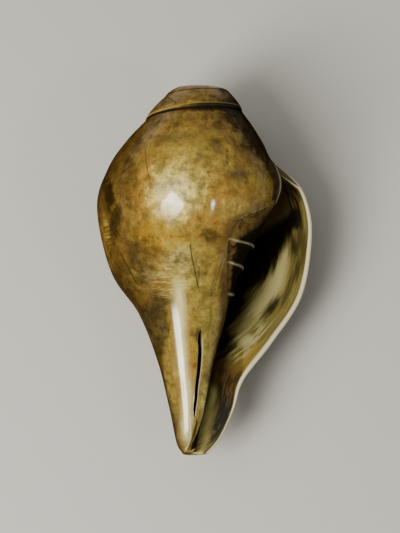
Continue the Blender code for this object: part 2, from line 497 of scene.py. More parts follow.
@dataclass
class ShellBody:
    """The whole outer form, filled: spire, last turn, rounded lip and both ends."""

    rule: GrowthRule
    oldest_turn: float = -3.4
    spire_ends: float = -1 - 1e-9
    rows_per_turn: int = 144
    columns_per_place: int = 15
    lip_places: tuple = (0.0003, 0.0007, 0.0012, 0.0018, 0.0025, 0.0034, 0.0046, 0.006, 0.0083, 0.0105)
    lip_round: float = 0.8
    rounding_starts: tuple = (0.1, 0.9)
    suture_depth: float = 0.55
    polish_loss: float = 0.17
    callus_pad: float = 3.6
    callus_place: float = 2.8
    callus_spread: float = 0.7
    callus_ledge: float = 0.5
    callus_thins: tuple = (0.02, 0.13)
    callus_top: tuple = (1.95, 2.4)
    groove_fills: float = 0.85
    groove_fills_over: tuple = (1.05, 1.5)
    crowding: float = 0.55
    lip_suture_place: int = 2

    def callus(self, places: np.ndarray) -> np.ndarray:
        """Width of the shelf that the shell lays down between the body and the top of the opening."""
        return self.callus_pad * hump(self.callus_place, self.callus_spread, places)

    def pad(self, turn: float, places: np.ndarray) -> np.ndarray:
        """Thickness of the callus where it thins out over the front of the body.

        Args:
            turn: the age past the lip.
            places: where to read it.

        Returns:
            The thickness at each place.
        """
        thickness = np.maximum(self.callus(places) - self.callus_ledge, 0.0)
        thinner = 1 - smooth_step(*self.callus_thins, turn)
        return thickness * thinner * smooth_step(*self.callus_top, places)

    def rounded(self, turn: float, radii: np.ndarray) -> np.ndarray:
        """How far the lip's edge is rounded away from the surface.

        Args:
            turn: the age, 0 at the edge.
            radii: each point's distance from the axis.

        Returns:
            The retreat of each point.
        """
        back = np.clip(-turn * TAU * radii, 0.0, self.lip_round)
        return self.lip_round - np.sqrt(self.lip_round**2 - (self.lip_round - back) ** 2)

    def places(self) -> np.ndarray:
        """The columns, closer together at the sutures.

        Returns:
            Their places.
        """
        count = self.rule.last_place * self.columns_per_place
        even = np.arange(count + 1) / self.columns_per_place
        band = self.lip_suture_place
        near = even[even <= band]
        crowded = band * (0.5 - 0.5 * np.cos(np.pi * near / band))
        mixed = self.crowding * crowded + (1 - self.crowding) * near
        return np.concatenate((mixed, even[even > band]))

    def turns(self) -> tuple[np.ndarray, int]:
        """The rows, oldest first.

        Returns:
            Their ages, and how many there are to a turn.
        """
        even = np.arange(self.rows_per_turn) / self.rows_per_turn
        pattern = np.sort(np.concatenate((even, 1.0 - np.array(self.lip_places))))
        count = math.ceil(-self.oldest_turn)
        ages = np.concatenate([pattern - k for k in range(count, 0, -1)] + [[0.0]])
        return ages[ages >= self.oldest_turn], len(pattern)

    def line(self, turn: float, places: np.ndarray, band: int) -> np.ndarray:
        """One row down the outside.

        Args:
            turn: its age.
            places: the columns' places.
            band: the column of the next suture.

        Returns:
            (radius, height) points, the whole section or the strip that shows.
        """
        rule = self.rule
        if turn < self.spire_ends:
            near = places[: band + 1]
            line = rule.spire_band(turn, near)
            loss = np.full(len(near), self.polish_loss)
        else:
            line = rule.section(turn, places)
            loss = self.polish_loss - self.pad(turn + 1, places)
            loss = loss + self.rounded(turn, line[:, 0]) * smooth_step(*self.rounding_starts, places)
        return rule.offset(line, -loss)

    def seed(self) -> Seed:
        """Lays out the body's rows and closes it.

        Returns:
            The closed form.
        """
        rule, places = self.rule, self.places()
        band = self.lip_suture_place * self.columns_per_place
        ages, per_turn = self.turns()
        seed = Seed("shell_body", Side.OUTSIDE)
        rows = []
        spire_rows = int(np.searchsorted(ages, self.spire_ends))
        for number, turn in enumerate(ages):
            line = self.line(turn, places, band)
            filled = self.groove_fills * smooth_step(*self.groove_fills_over, -turn)
            groove = self.suture_depth * (1 - filled)
            line[0] -= (groove, 0.0)
            own = places[: len(line)]
            if number < per_turn:
                rows.append(seed.row(line, turn, own))
                continue
            shared = rows[number - per_turn][band]
            seed.points[shared] = line[0]
            rows.append([shared] + seed.row(line[1:], turn, own[1:]))
        for older, newer in zip(rows, rows[1:]):
            seed.join(older, newer)
        seed.cap(rows[spire_rows][band + 1 :] + rows[-1][::-1])
        tip_edge = [row[-1] for row in rows[spire_rows:]]
        top_edge = [row[0] for row in rows[: per_turn + 1]] + rows[0][band - 1 : 0 : -1]
        seed.fan(tip_edge, (0.0, 1.0), -0.5, rule.last_place)
        seed.fan(top_edge[::-1], (0.0, rule.spire_crown + 0.5), self.oldest_turn, 0.0)
        return seed


@dataclass
class ShellHollow:
    """The channel that the animal lived in, which runs out through the opening and the canal."""

    rule: GrowthRule
    body: ShellBody
    row_steps: tuple = ((-2.6, -0.6, 40), (-0.6, -0.012, 110), (0.0, 0.400001, 140))
    lip_wall: float = 1.8
    inner_wall: float = 2.2
    canal_wall: float = 1.0
    canal_floor: float = 1.8
    wall_thickens_over: float = 0.18
    canal_thickens: tuple = (0.01, 0.2)
    canal_places: tuple = (6.0, 7.5)
    outer_places: tuple = (1.3, 9.0, 58)
    corner_retreat: float = 0.7
    corner_retreats_over: float = 0.4
    inner_steps: tuple = ((2.55, 4.1, 0.05), (4.1, 6.1, 0.024), (6.1, 9.000001, 0.1))
    canal_ages: tuple = (0.22, 0.45)
    canal_mouth: float = -8.0
    glaze_depth: float = 0.45
    glaze_deepens_over: float = 0.03
    ledge_fades_over: float = 0.02
    wall_depth: float = 1.15
    deep_places: tuple = ((3.4, 3.8), (5.9, 6.5))
    glaze_edge: tuple = (
        (3.25, 0.0), (3.35, 0.03), (3.42, 0.067), (3.52, 0.134), (3.6, 0.167), (3.68, 0.19), (3.83, 0.2),
        (4.02, 0.206), (4.32, 0.202), (4.72, 0.188), (5.23, 0.163), (5.7, 0.128), (6.15, 0.095),
        (6.48, 0.101), (7.3, 0.1), (7.91, 0.13), (8.3, 0.21), (8.65, 0.3), (9.0, 0.36),
    )
    edge_width: float = 0.025
    tip_places: tuple = (7.9, 9.0)
    clearance: float = 2.0
    folds_at: tuple = ((4.88, 3.7), (5.39, 3.3), (5.87, 2.3))
    fold_height: float = 1.0
    fold_width: float = 0.05
    folds_fade_over: float = 0.02

    def row_turns(self) -> np.ndarray:
        """The rings, oldest first, close together at the lip and the glaze's edge.

        Returns:
            Their ages.
        """
        rows = [np.arange(start, end, 1 / per_turn) for start, end, per_turn in self.row_steps]
        edge = -np.array(self.body.lip_places)[::-1]
        return np.concatenate((*rows[:-1], edge, rows[-1]))

    def columella_places(self) -> np.ndarray:
        """The points down the inner side, close together where the folds are.

        Returns:
            Their places.
        """
        return np.concatenate([np.arange(start, end, step) for start, end, step in self.inner_steps])

    def folds(self, turn: float, places: np.ndarray) -> np.ndarray:
        """Height of the folds that wind along the columella, and climb where they come out at the front.

        Args:
            turn: the age.
            places: where to read it.

        Returns:
            The height at each place.
        """
        climb = max(turn, 0.0)
        return self.fold_height * sum(
            hump(place - slope * climb, self.fold_width, places) for place, slope in self.folds_at)

    def wall(self, turn: float, places: np.ndarray) -> np.ndarray:
        """Thickness of the outer wall: more inside than at the lip, and less down the canal.

        Args:
            turn: the age.
            places: where to read it.

        Returns:
            The thickness at each place.
        """
        thick = self.lip_wall + self.inner_wall * smooth_step(0.0, self.wall_thickens_over, -turn)
        thin = self.canal_wall + self.canal_floor * smooth_step(*self.canal_thickens, -turn)
        wall = thick + (thin - thick) * smooth_step(*self.canal_places, places)
        return wall - self.body.rounded(min(turn, 0.0), self.rule.section(0, places)[:, 0])

    def inside(self, turn: float, outer: np.ndarray, inner: np.ndarray) -> tuple:
        """One ring's two sides behind the lip, where the section is carried back along the spiral.

        Args:
            turn: its age, 0 or less.
            outer: the outer side's places.
            inner: the inner side's places.

        Returns:
            The outer points, the inner points, and the height of the end that closes them.
        """
        rule, wall = self.rule, self.wall(turn, outer)
        canal = smooth_step(*self.canal_places, outer)[:, None]
        open_canal = 1 - smooth_step(*self.canal_ages, -turn)
        line = rule.carried(rule.offset(rule.section(0, outer), -wall), turn)
        own = rule.offset(rule.section(max(turn, -1.0), outer), -wall)
        line = line + (own - line) * canal * open_canal
        stand_off = self.body.callus(inner) + self.folds(turn, inner) - self.wall_depth * self.deeper(inner)
        inner_line = rule.carried(rule.offset(rule.section(-1, inner), stand_off), turn)
        end = rule.carried(np.array([(0.0, self.canal_mouth)]), turn)[0, 1]
        return line, inner_line, end + (self.canal_mouth - end) * open_canal

    def in_front(self, turn: float, outer: np.ndarray, inner: np.ndarray) -> tuple:
        """One ring's two sides past the lip, where the hollow opens out over the glazed inner lip.

        Args:
            turn: its age, more than 0.
            outer: the outer side's places.
            inner: the inner side's places.

        Returns:
            The outer points, the inner points, and the height of the end that closes them.
        """
        rule, body = self.rule, self.body
        line = rule.offset(rule.section(0, outer), -self.wall(turn, outer)) * (1 + turn, 1.0)
        ends = np.interp(inner, *zip(*self.glaze_edge))
        wide = self.edge_width * (1 + 2 * smooth_step(*self.tip_places, inner))
        past = smooth_step(ends, ends + wide, turn)
        skin = self.glaze_depth * smooth_step(0.0, self.glaze_deepens_over, turn)
        sunk = skin + (self.wall_depth - skin) * self.deeper(inner)
        ledge = body.callus_ledge * (1 - smooth_step(0.0, self.ledge_fades_over, turn))
        relief = body.pad(turn, inner) + ledge
        relief = relief + self.folds(turn, inner) * (1 - smooth_step(ends - self.folds_fade_over, ends, turn))
        stand_off = relief - sunk * (1 - past) + self.clearance * past
        return line, rule.offset(rule.section(turn - 1, inner), stand_off), self.canal_mouth

    def deeper(self, places: np.ndarray) -> np.ndarray:
        """Where the columella is hollowed deeper than the glaze."""
        starts, stops = self.deep_places
        return smooth_step(*starts, places) * (1 - smooth_step(*stops, places))

    def ring(self, turn: float) -> tuple[np.ndarray, np.ndarray]:
        """One closed line round the hollow.

        Args:
            turn: its age.

        Returns:
            Its (radius, height) points and their places.
        """
        start, end, steps = self.outer_places
        start += self.corner_retreat * smooth_step(0.0, self.corner_retreats_over, -turn)
        outer_places, inner_places = np.linspace(start, end, steps), self.columella_places()
        sides = self.inside if turn <= 0 else self.in_front
        outer, inner, bottom = sides(turn, outer_places, inner_places)
        mouth = ((outer[-1, 0], bottom), (inner[-1, 0], bottom))
        line = np.vstack((outer, mouth, inner[::-1]))
        places = np.concatenate((outer_places, (end, end), inner_places[::-1]))
        return line, places

    def seed(self) -> Seed:
        """Lays out the hollow's rings and closes it.

        Returns:
            The closed form.
        """
        seed = Seed("shell_hollow", Side.HOLLOW)
        rings = []
        for turn in self.row_turns():
            line, places = self.ring(turn)
            ring = seed.row(line, turn, places)
            rings.append(ring + ring[:1])
        for older, newer in zip(rings, rings[1:]):
            seed.join(older, newer)
        seed.cap(rings[0][:-1], cut=False)
        seed.cap(rings[-1][:0:-1], cut=False)
        return seed


@dataclass
class BlowingMouth:
    """The face ground across the apex and the hole drilled down to the hollow."""

    ground_height: float = 149.45
    hole_radius: float = 3.8
    edge_wear: float = 0.5
    throat_radius: float = 6.4
    throat_top: float = 138.0
    throat_bottom: float = 127.0
    throat_slopes: tuple = (4.0, 3.0)
    face_radius: float = 26.0
    clear_height: float = 155.0
    sides: int = 96

    def cutter(self) -> bpy.types.Object:
        """The volume that the grinding and the drill take away.

        Returns:
            The closed form.
        """
        worn, hole, (upper, lower) = self.edge_wear, self.hole_radius, self.throat_slopes
        profile = (
            (0.0, self.clear_height), (self.face_radius, self.clear_height),
            (self.face_radius, self.ground_height), (hole + worn, self.ground_height),
            (hole + worn * 0.3, self.ground_height - worn * 0.3), (hole, self.ground_height - worn),
            (hole, self.throat_top), (self.throat_radius, self.throat_top - upper),
            (self.throat_radius, self.throat_bottom + lower), (0.0, self.throat_bottom),
        )
        return turned_form("blowing_mouth", profile, self.sides)


@dataclass
class ColumellaSlit:
    """The narrow wavy gap beside the columella, at the front of the canal."""

    path: tuple = (
        (2.2, 50.0, 0.1), (1.9, 48.5, 0.7), (1.7, 45.5, 1.2), (2.0, 42.0, 1.4), (1.9, 38.0, 1.5),
        (1.6, 33.0, 1.4), (1.0, 28.0, 1.2), (0.8, 23.5, 1.2), (0.3, 19.0, 1.1), (0.2, 16.5, 0.6),
        (0.2, 15.0, 0.1),
    )
    least_width: float = 0.08
    depth: float = 4.0
    sunk: float = 0.1
    sides: int = 16
    steps: int = 48

    def cutter(self, rule: GrowthRule) -> bpy.types.Object:
        """A wavy blade along the slit.

        Args:
            rule: the shell's growth, which says how far out its front is.

        Returns:
            The closed blade, an object about the coiling axis.
        """
        path = GrowthRule.spline(np.array(self.path), np.linspace(0, len(self.path) - 1, self.steps))
        path[:, 2] = np.maximum(path[:, 2], self.least_width)
        angles = np.arange(self.sides) * TAU / self.sides
        points, rings = [], []
        for x, y, width in path:
            depth = self.depth * min(1.0, width)
            middle = self.front(rule, y) - depth * self.sunk
            rings.append([len(points) + k for k in range(self.sides)])
            points.extend((x + width / 2 * math.cos(a), y, middle + depth * math.sin(a)) for a in angles)
        faces = [tuple(rings[0]), tuple(rings[-1][::-1]), *faces_between(rings)]
        return closed_form("columella_slit", points, faces)

    @staticmethod
    def front(rule: GrowthRule, height: float) -> float:
        """How far in front of the axis the surface is.

        Args:
            rule: the shell's growth.
            height: where to read it, from 0 at the tip.

        Returns:
            The distance.
        """
        turn = (90.0 - rule.lip_angle) / 360.0 - 1.0
        line = rule.section(turn, np.linspace(4.0, 9.0, 60))
        return float(np.interp(-height, -line[:, 1], line[:, 0]))


def faces_between(rings: list[list[int]]) -> list[tuple]:
    """The faces that join closed rings of points.

    Args:
        rings: the points' numbers, ring by ring.

    Returns:
        The faces.
    """
    faces = []
    for upper, lower in zip(rings, rings[1:]):
        faces.extend(zip(lower, lower[1:] + lower[:1], upper[1:] + upper[:1], upper))
    return faces


def closed_form(name: str, points: list, faces: list) -> bpy.types.Object:
    """A cutter that isn't coiled, all of whose faces belong to the cut surfaces.

    Args:
        name: its name.
        points: its points about the coiling axis, in millimetres.
        faces: its faces.

    Returns:
        The object.
    """
    mesh = bpy.data.meshes.new(name)
    mesh.from_pydata([tuple(value * MM for value in point) for point in points], [], faces)
    shape = bmesh.new()
    shape.from_mesh(mesh)
    bmesh.ops.recalc_face_normals(shape, faces=shape.faces)
    shape.to_mesh(mesh)
    shape.free()
    mesh.attributes.new("side", "INT", "FACE").data.foreach_set("value", [Side.CUT.value] * len(faces))
    return linked(name, mesh)


def turned_form(name: str, profile: tuple, sides: int) -> bpy.types.Object:
    """A closed solid turned about the coiling axis.

    Args:
        name: its name.
        profile: (radius, height) from the top of the axis to its bottom.
        sides: how many steps go round.

    Returns:
        The object.
    """
    points, rings = [(0.0, profile[0][1], 0.0), (0.0, profile[-1][1], 0.0)], []
    for radius, height in profile[1:-1]:
        rings.append([len(points) + k for k in range(sides)])
        points.extend((radius * math.cos(k * TAU / sides), height, radius * math.sin(k * TAU / sides))
                      for k in range(sides))
    faces, first, last = faces_between(rings), rings[0], rings[-1]
    faces.extend((a, b, 0) for a, b in zip(first, first[1:] + first[:1]))
    faces.extend((b, a, 1) for a, b in zip(last, last[1:] + last[:1]))
    return closed_form(name, points, faces)


# ---------------------------------------------------------------- the shape tree


class ShapeDraft(Draft):
    """A shape being made in a tree, with the tree's inputs at hand by their names."""

    def __init__(self, tree: bpy.types.NodeTree) -> None:
        """Adds the node that hands in the tree's inputs.

        Args:
            tree: the tree, whose inputs are all declared.
        """
        super().__init__(tree)
        given = tree.nodes.new("NodeGroupInput")
        self.size = {socket.name: Reading(self, socket) for socket in given.outputs}

    def attribute(self, name: str, kind: str = "FLOAT") -> Reading:
        """A named attribute."""
        return self.add("GeometryNodeInputNamedAttribute", {"data_type": kind}, {"Name": name})

    def fetched(self, name: str) -> Reading:
        """The mesh of the object that an input names."""
        return self.add("GeometryNodeObjectInfo", {}, {"Object": self.size[name]}, "Geometry")

    def coiled(self, form: Reading) -> Reading:
        """Shrinks every point back to its age and swings it round the axis.

        Args:
            form: the flat form.

        Returns:
            The coiled form.
        """
        turn, flat = self.attribute("turn"), self.add("GeometryNodeInputPosition")
        shrink, apex = self.size["Growth Per Turn"] ** turn, self.size["Spiral Apex"]
        radius = flat.part("X") * shrink
        height = apex + (flat.part("Y") - apex) * shrink
        angle = self.size["Lip Angle"] + turn * TAU
        place = self.vector(radius * angle.sum_up("COSINE"), height, radius * angle.sum_up("SINE"))
        return self.add("GeometryNodeSetPosition", {}, {"Geometry": form, "Position": place})

    def rippled(self, form: Reading) -> Reading:
        """Gives the hand-polished outside its slight undulation, fading out at the lip.

        Args:
            form: the coiled body.

        Returns:
            The rippled body.
        """
        noise = self.add("ShaderNodeTexNoise", {"noise_dimensions": "3D"}, {
            "Vector": self.add("GeometryNodeInputPosition"), "Scale": 1.0 / self.size["Ripple Size"],
            "Detail": 2.0, "Roughness": 0.45})
        turn = self.attribute("turn")
        wave = (turn * TAU * self.size["Ridges Per Turn"] + noise * 5.0).sum_up("SINE")
        rise = (noise - 0.5) * 2.0 + wave * self.size["Ridge Share"]
        shift = self.add("ShaderNodeVectorMath", {"operation": "SCALE"}, {
            0: self.add("GeometryNodeInputNormal"),
            "Scale": rise * self.size["Ripple Height"] * turn.between(0.0, -0.02)})
        return self.add("GeometryNodeSetPosition", {}, {"Geometry": form, "Offset": shift})

    def charted(self, form: Reading) -> Reading:
        """Stores each corner's age in turns, place, and distance behind the lip in millimetres.

        Args:
            form: the coiled form.

        Returns:
            The form with that attribute, called growth.
        """
        turn, at = self.attribute("turn"), self.add("GeometryNodeInputPosition")
        radius = (at.part("X") * at.part("X") + at.part("Z") * at.part("Z")) ** 0.5
        chart = self.vector(turn, self.attribute("place"), turn * radius * (-TAU / MM))
        settings = {"data_type": "FLOAT_VECTOR", "domain": "CORNER"}
        return self.add("GeometryNodeStoreNamedAttribute", settings, {
            "Geometry": form, "Name": "growth", "Value": chart})

    def without(self, form: Reading, cutter: Reading) -> Reading:
        """Takes one closed form out of another."""
        return self.add("GeometryNodeMeshBoolean", {"operation": "DIFFERENCE", "solver": "EXACT"}, {
            "Mesh 1": form, "Mesh 2": cutter}, "Mesh")

    def laid_down(self, shell: Reading) -> Reading:
        """Turns the shell into its resting pose and wears its underside flat.

        Args:
            shell: the opened shell.

        Returns:
            The shell at rest.
        """
        shell = self.add("GeometryNodeTransform", {}, {
            "Geometry": shell, "Translation": self.size["Resting Place"],
            "Rotation": self.size["Resting Turn"]})
        at = self.add("GeometryNodeInputPosition")
        above = at.part("Z").sum_up("SMOOTH_MAX", 0.0, self.size["Flat Softness"])
        worn = self.vector(at.part("X"), at.part("Y"), above)
        return self.add("GeometryNodeSetPosition", {}, {"Geometry": shell, "Position": worn})

    def creased(self, shell: Reading) -> Reading:
        """Shades the shell smooth, and keeps its real edges crisp.

        Args:
            shell: the shell at rest.

        Returns:
            The shaded shell.
        """
        shell = self.add("GeometryNodeSetShadeSmooth", {"domain": "FACE"}, {
            "Geometry": shell, "Shade Smooth": True})
        angle = self.add("GeometryNodeInputMeshEdgeAngle", output="Unsigned Angle")
        sharp = self.add("FunctionNodeCompare", {"operation": "GREATER_THAN"}, {
            0: angle, 1: self.size["Sharp Angle"]})
        return self.add("GeometryNodeSetShadeSmooth", {"domain": "EDGE"}, {
            "Geometry": shell, "Selection": sharp, "Shade Smooth": False})


@dataclass
class ShapeTree:
    """The geometry nodes that coil the seeds, open the shell and lay it down."""

    rule: GrowthRule
    rest_turn: tuple = (7.0, -3.0, 0.0)
    rest_place: tuple = (-2.8513, -75.1775, 32.3199)
    ripple_height: float = 0.16
    ripple_size: float = 22.0
    ridges_per_turn: float = 26.0
    ridge_share: float = 0.22
    flat_softness: float = 0.5
    sharp_angle: float = 38.0

    def sizes(self) -> dict[str, tuple[str, object]]:
        """The tree's named inputs.

        Returns:
            Each one's socket type and value.
        """
        number, vector = "NodeSocketFloat", "NodeSocketVector"
        return {
            "Growth Per Turn": (number, self.rule.growth_per_turn),
            "Spiral Apex": (number, self.rule.spiral_apex * MM),
            "Lip Angle": (number, math.radians(self.rule.lip_angle)),
            "Ripple Height": (number, self.ripple_height * MM),
            "Ripple Size": (number, self.ripple_size * MM),
            "Ridges Per Turn": (number, self.ridges_per_turn),
            "Ridge Share": (number, self.ridge_share),
            "Flat Softness": (number, self.flat_softness * MM),
            "Sharp Angle": (number, math.radians(self.sharp_angle)),
            "Resting Turn": (vector, tuple(math.radians(a) for a in self.rest_turn)),
            "Resting Place": (vector, tuple(a * MM for a in self.rest_place)),
        }

    def build(self, finishes: dict[Side, bpy.types.Material],
              cutters: dict[str, bpy.types.Object]) -> tuple[bpy.types.NodeTree, dict]:
        """Builds the tree.

        Args:
            finishes: the material of each surface.
            cutters: the hollow first, then the openings cut through the shell.

        Returns:
            The tree, and its inputs' values by socket identifier.
        """
        tree = bpy.data.node_groups.new("coiled_shell", "GeometryNodeTree")
        finish_names = {side: f"{side.name.title()} Finish" for side in Side}
        inputs = {
            "Geometry": ("NodeSocketGeometry", None), **self.sizes(),
            **{name: ("NodeSocketObject", cutter) for name, cutter in cutters.items()},
            **{finish_names[side]: ("NodeSocketMaterial", finishes[side]) for side in Side},
        }
        values = {}
        for name, (kind, value) in inputs.items():
            socket = tree.interface.new_socket(name, in_out="INPUT", socket_type=kind)
            if value is not None:
                values[socket.identifier] = value
        tree.interface.new_socket("Geometry", in_out="OUTPUT", socket_type="NodeSocketGeometry")

        draft = ShapeDraft(tree)
        shell = draft.charted(draft.rippled(draft.coiled(draft.size["Geometry"])))
        hollow, *openings = cutters
        shell = draft.without(shell, draft.charted(draft.coiled(draft.fetched(hollow))))
        for name in openings:
            shell = draft.without(shell, draft.fetched(name))
        shell = draft.creased(draft.laid_down(shell))
        shell = draft.add("GeometryNodeRealizeInstances", {}, {"Geometry": shell})
        side_code = draft.attribute("side", "INT")
        for side, name in finish_names.items():
            chosen = draft.add("FunctionNodeCompare", {"data_type": "INT", "operation": "EQUAL"}, {
                2: side_code, 3: side.value})
            shell = draft.add("GeometryNodeSetMaterial", {}, {
                "Geometry": shell, "Selection": chosen, "Material": draft.size[name]})
        draft.feed(tree.nodes.new("NodeGroupOutput").inputs[0], shell)
        return tree, values


@dataclass
class ConchShell:
    """The whole horn: body, hollow, blowing mouth and slit, as one mesh."""

    rule: GrowthRule = field(default_factory=GrowthRule)
    mouth: BlowingMouth = field(default_factory=BlowingMouth)
    slit: ColumellaSlit = field(default_factory=ColumellaSlit)

    def build(self) -> bpy.types.Object:
        """Grows, opens and dresses the shell.

        Returns:
            The piece, with its place in its mesh.
        """
        body = ShellBody(self.rule)
        hollow = ShellHollow(self.rule, body)
        shape = ShapeTree(self.rule)
        finishes = {
            Side.OUTSIDE: OutsideFinish().build(FinishDraft("polished_outside", shape), hollow.glaze_edge),
            Side.HOLLOW: HollowFinish().build(FinishDraft("glazed_inside", shape), hollow.glaze_edge),
            Side.CUT: CutFinish().build(FinishDraft("ground_edges", shape)),
        }
        seed = body.seed().planted(self.rule)
        cutters = {
            "Hollow": hollow.seed().planted(self.rule),
            "Blowing Mouth": self.mouth.cutter(),
            "Slit": self.slit.cutter(self.rule),
        }
        grown = seed.modifiers.new("coiled_shell", "NODES")
        grown.node_group, values = shape.build(finishes, cutters)
        for identifier, value in values.items():
            grown[identifier] = value
        graph = bpy.context.evaluated_depsgraph_get()
        mesh = bpy.data.meshes.new_from_object(seed.evaluated_get(graph))
        mesh.name = "conch_shell_horn"
        seed.modifiers.clear()
        for helper in (seed, *cutters.values()):
            bpy.data.objects.remove(helper)
        piece = linked("polished_conch", mesh)
        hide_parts("conch_shell")
        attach(piece, "root")
        return piece


# ---------------------------------------------------------------- finishes


class FinishDraft(Draft):
    """A finish being made, with the shell's own axes and its growth at hand."""

    def __init__(self, name: str, shape: ShapeTree) -> None:
        """Starts a material with one Principled shader.

        Args:
            name: the material's name.
            shape: says how the shell lies, so that patterns can follow its own axes.
        """
        self.material = bpy.data.materials.new(name)
        self.material.use_nodes = True
        super().__init__(self.material.node_tree)
        self.shader = self.tree.nodes["Principled BSDF"]
        sizes = shape.sizes()
        self.at = self.add("ShaderNodeMapping", {"vector_type": "TEXTURE"}, {
            "Vector": self.add("ShaderNodeTexCoord", output="Object"), "Scale": (MM, MM, MM),
            "Location": sizes["Resting Place"][1], "Rotation": sizes["Resting Turn"][1]})
        self.x, self.y, self.z = (self.at.part(axis) for axis in "XYZ")
        growth = self.add("ShaderNodeAttribute", {"attribute_name": "growth"}, output="Vector")
        self.turn, self.place, self.lip = (growth.part(axis) for axis in "XYZ")

    def radius(self) -> Reading:
        """The distance from the coiling axis."""
        return (self.x * self.x + self.z * self.z) ** 0.5

    def facing(self) -> Reading:
        """How squarely the outside faces the front, from 1 to -1 behind."""
        return self.z / (self.radius() + 0.5)

    def last_turn(self) -> Reading:
        """1 on the newest turn, 0 on the older ones."""
        return self.turn.between(-1.001, -0.999)

    def noise(self, size: float, detail: float = 3.0, roughness: float = 0.5,
              along: Reading | None = None, twist: float = 0.0) -> Reading:
        """A soft random pattern.

        Args:
            size: the size of its largest spots.
            detail: how many finer layers it has.
            roughness: how strong those are.
            along: the coordinates that it follows, or the shell's own in millimetres.
            twist: how much it is distorted.

        Returns:
            A value about 0.5.
        """
        return self.add("ShaderNodeTexNoise", {"noise_dimensions": "3D"}, {
            "Vector": along or self.at, "Scale": 1.0 / size, "Detail": detail,
            "Roughness": roughness, "Distortion": twist})

    def mix(self, share: Reading | float, first: object, second: object, way: str = "MIX") -> Reading:
        """Two colours mixed.

        Args:
            share: how much of the second.
            first: the first colour.
            second: the second colour.
            way: the Mix node's blend type.

        Returns:
            The mixed colour.
        """
        settings = {"data_type": "RGBA", "blend_type": way, "clamp_factor": True}
        return self.add("ShaderNodeMix", settings, {0: share, 6: first, 7: second})

    def layered(self, colour: object, *layers: tuple) -> Reading:
        """Colours laid over one another.

        Args:
            colour: the lowest one.
            *layers: the others as (share, colour) pairs, from the lowest up.

        Returns:
            The colour that shows.
        """
        for share, tint in layers:
            colour = self.mix(share, colour, tint)
        return colour

    def set(self, **values: object) -> None:
        """Sets or links the shader's sockets, named with _ for a space."""
        for name, value in values.items():
            self.feed(self.shader.inputs[name.replace("_", " ")], value)

    def bump(self, height: Reading, strength: float, distance: float) -> None:
        """Links a bump to the shader.

        Args:
            height: the relief, from 0 to about 1.
            strength: how strong it is.
            distance: its real height in millimetres.
        """
        self.set(Normal=self.add("ShaderNodeBump", {}, {
            "Height": height, "Strength": strength, "Distance": distance * MM}))


@dataclass(frozen=True)
class Patch:
    """A place with ragged edges, on the front by the shell's own axes in millimetres: a stain, a rubbed
    place, painted highlight, painted shade or a duller coat.
    """

    x: float
    y: float
    wide: float
    tall: float
    lean: float
    tint: Colour | None
    amount: float
    core: float = 0.35
    rim: float = 1.25

    def mask(self, draft: FinishDraft, ragged: Reading, chart: Reading | None = None) -> Reading:
        """Where it is.

        Args:
            draft: the finish it is part of.
            ragged: the noise that breaks its edge.
            chart: other coordinates to lay it out on, in place of the front.

        Returns:
            Its strength over the surface.
        """
        local = draft.add("ShaderNodeMapping", {"vector_type": "TEXTURE"}, {
            "Vector": chart or draft.at, "Location": (self.x, self.y, 0.0),
            "Rotation": (0.0, 0.0, math.radians(self.lean)), "Scale": (self.wide, self.tall, FAR)})
        reach = draft.add("ShaderNodeVectorMath", {"operation": "LENGTH"}, {0: local}, "Value")
        strength = (reach + ragged).between(self.rim, self.core) * self.amount
        return strength if chart else strength * draft.z.between(-3.0, 5.0)


@dataclass(frozen=True)
class Stroke:
    """A fine line on the front, such as a crack or a scratch, on the shell's own axes in millimetres.

    An upright one gives x along y in its path, the others y along x.
    """

    path: tuple
    width: float
    tint: Colour
    amount: float
    upright: bool = True
    grain: float = 0.0
    tapered: float = 0.15

    def mask(self, draft: FinishDraft, broken: Reading) -> Reading:
        """Where it is.

        Args:
            draft: the finish it is part of.
            broken: the noise that breaks it, as far as its grain lets it.

        Returns:
            Its strength over the surface.
        """
        along, across = (draft.y, draft.x) if self.upright else (draft.x, draft.y)
        off = across - draft.curve(along, self.path) + broken * self.grain
        low, high = self.path[0][0], self.path[-1][0]
        fade = (high - low) * self.tapered
        ends = along.between(low, low + fade) * along.between(high, high - fade)
        return off.hump(0.0, self.width) * ends * draft.z.between(-3.0, 3.0) * self.amount


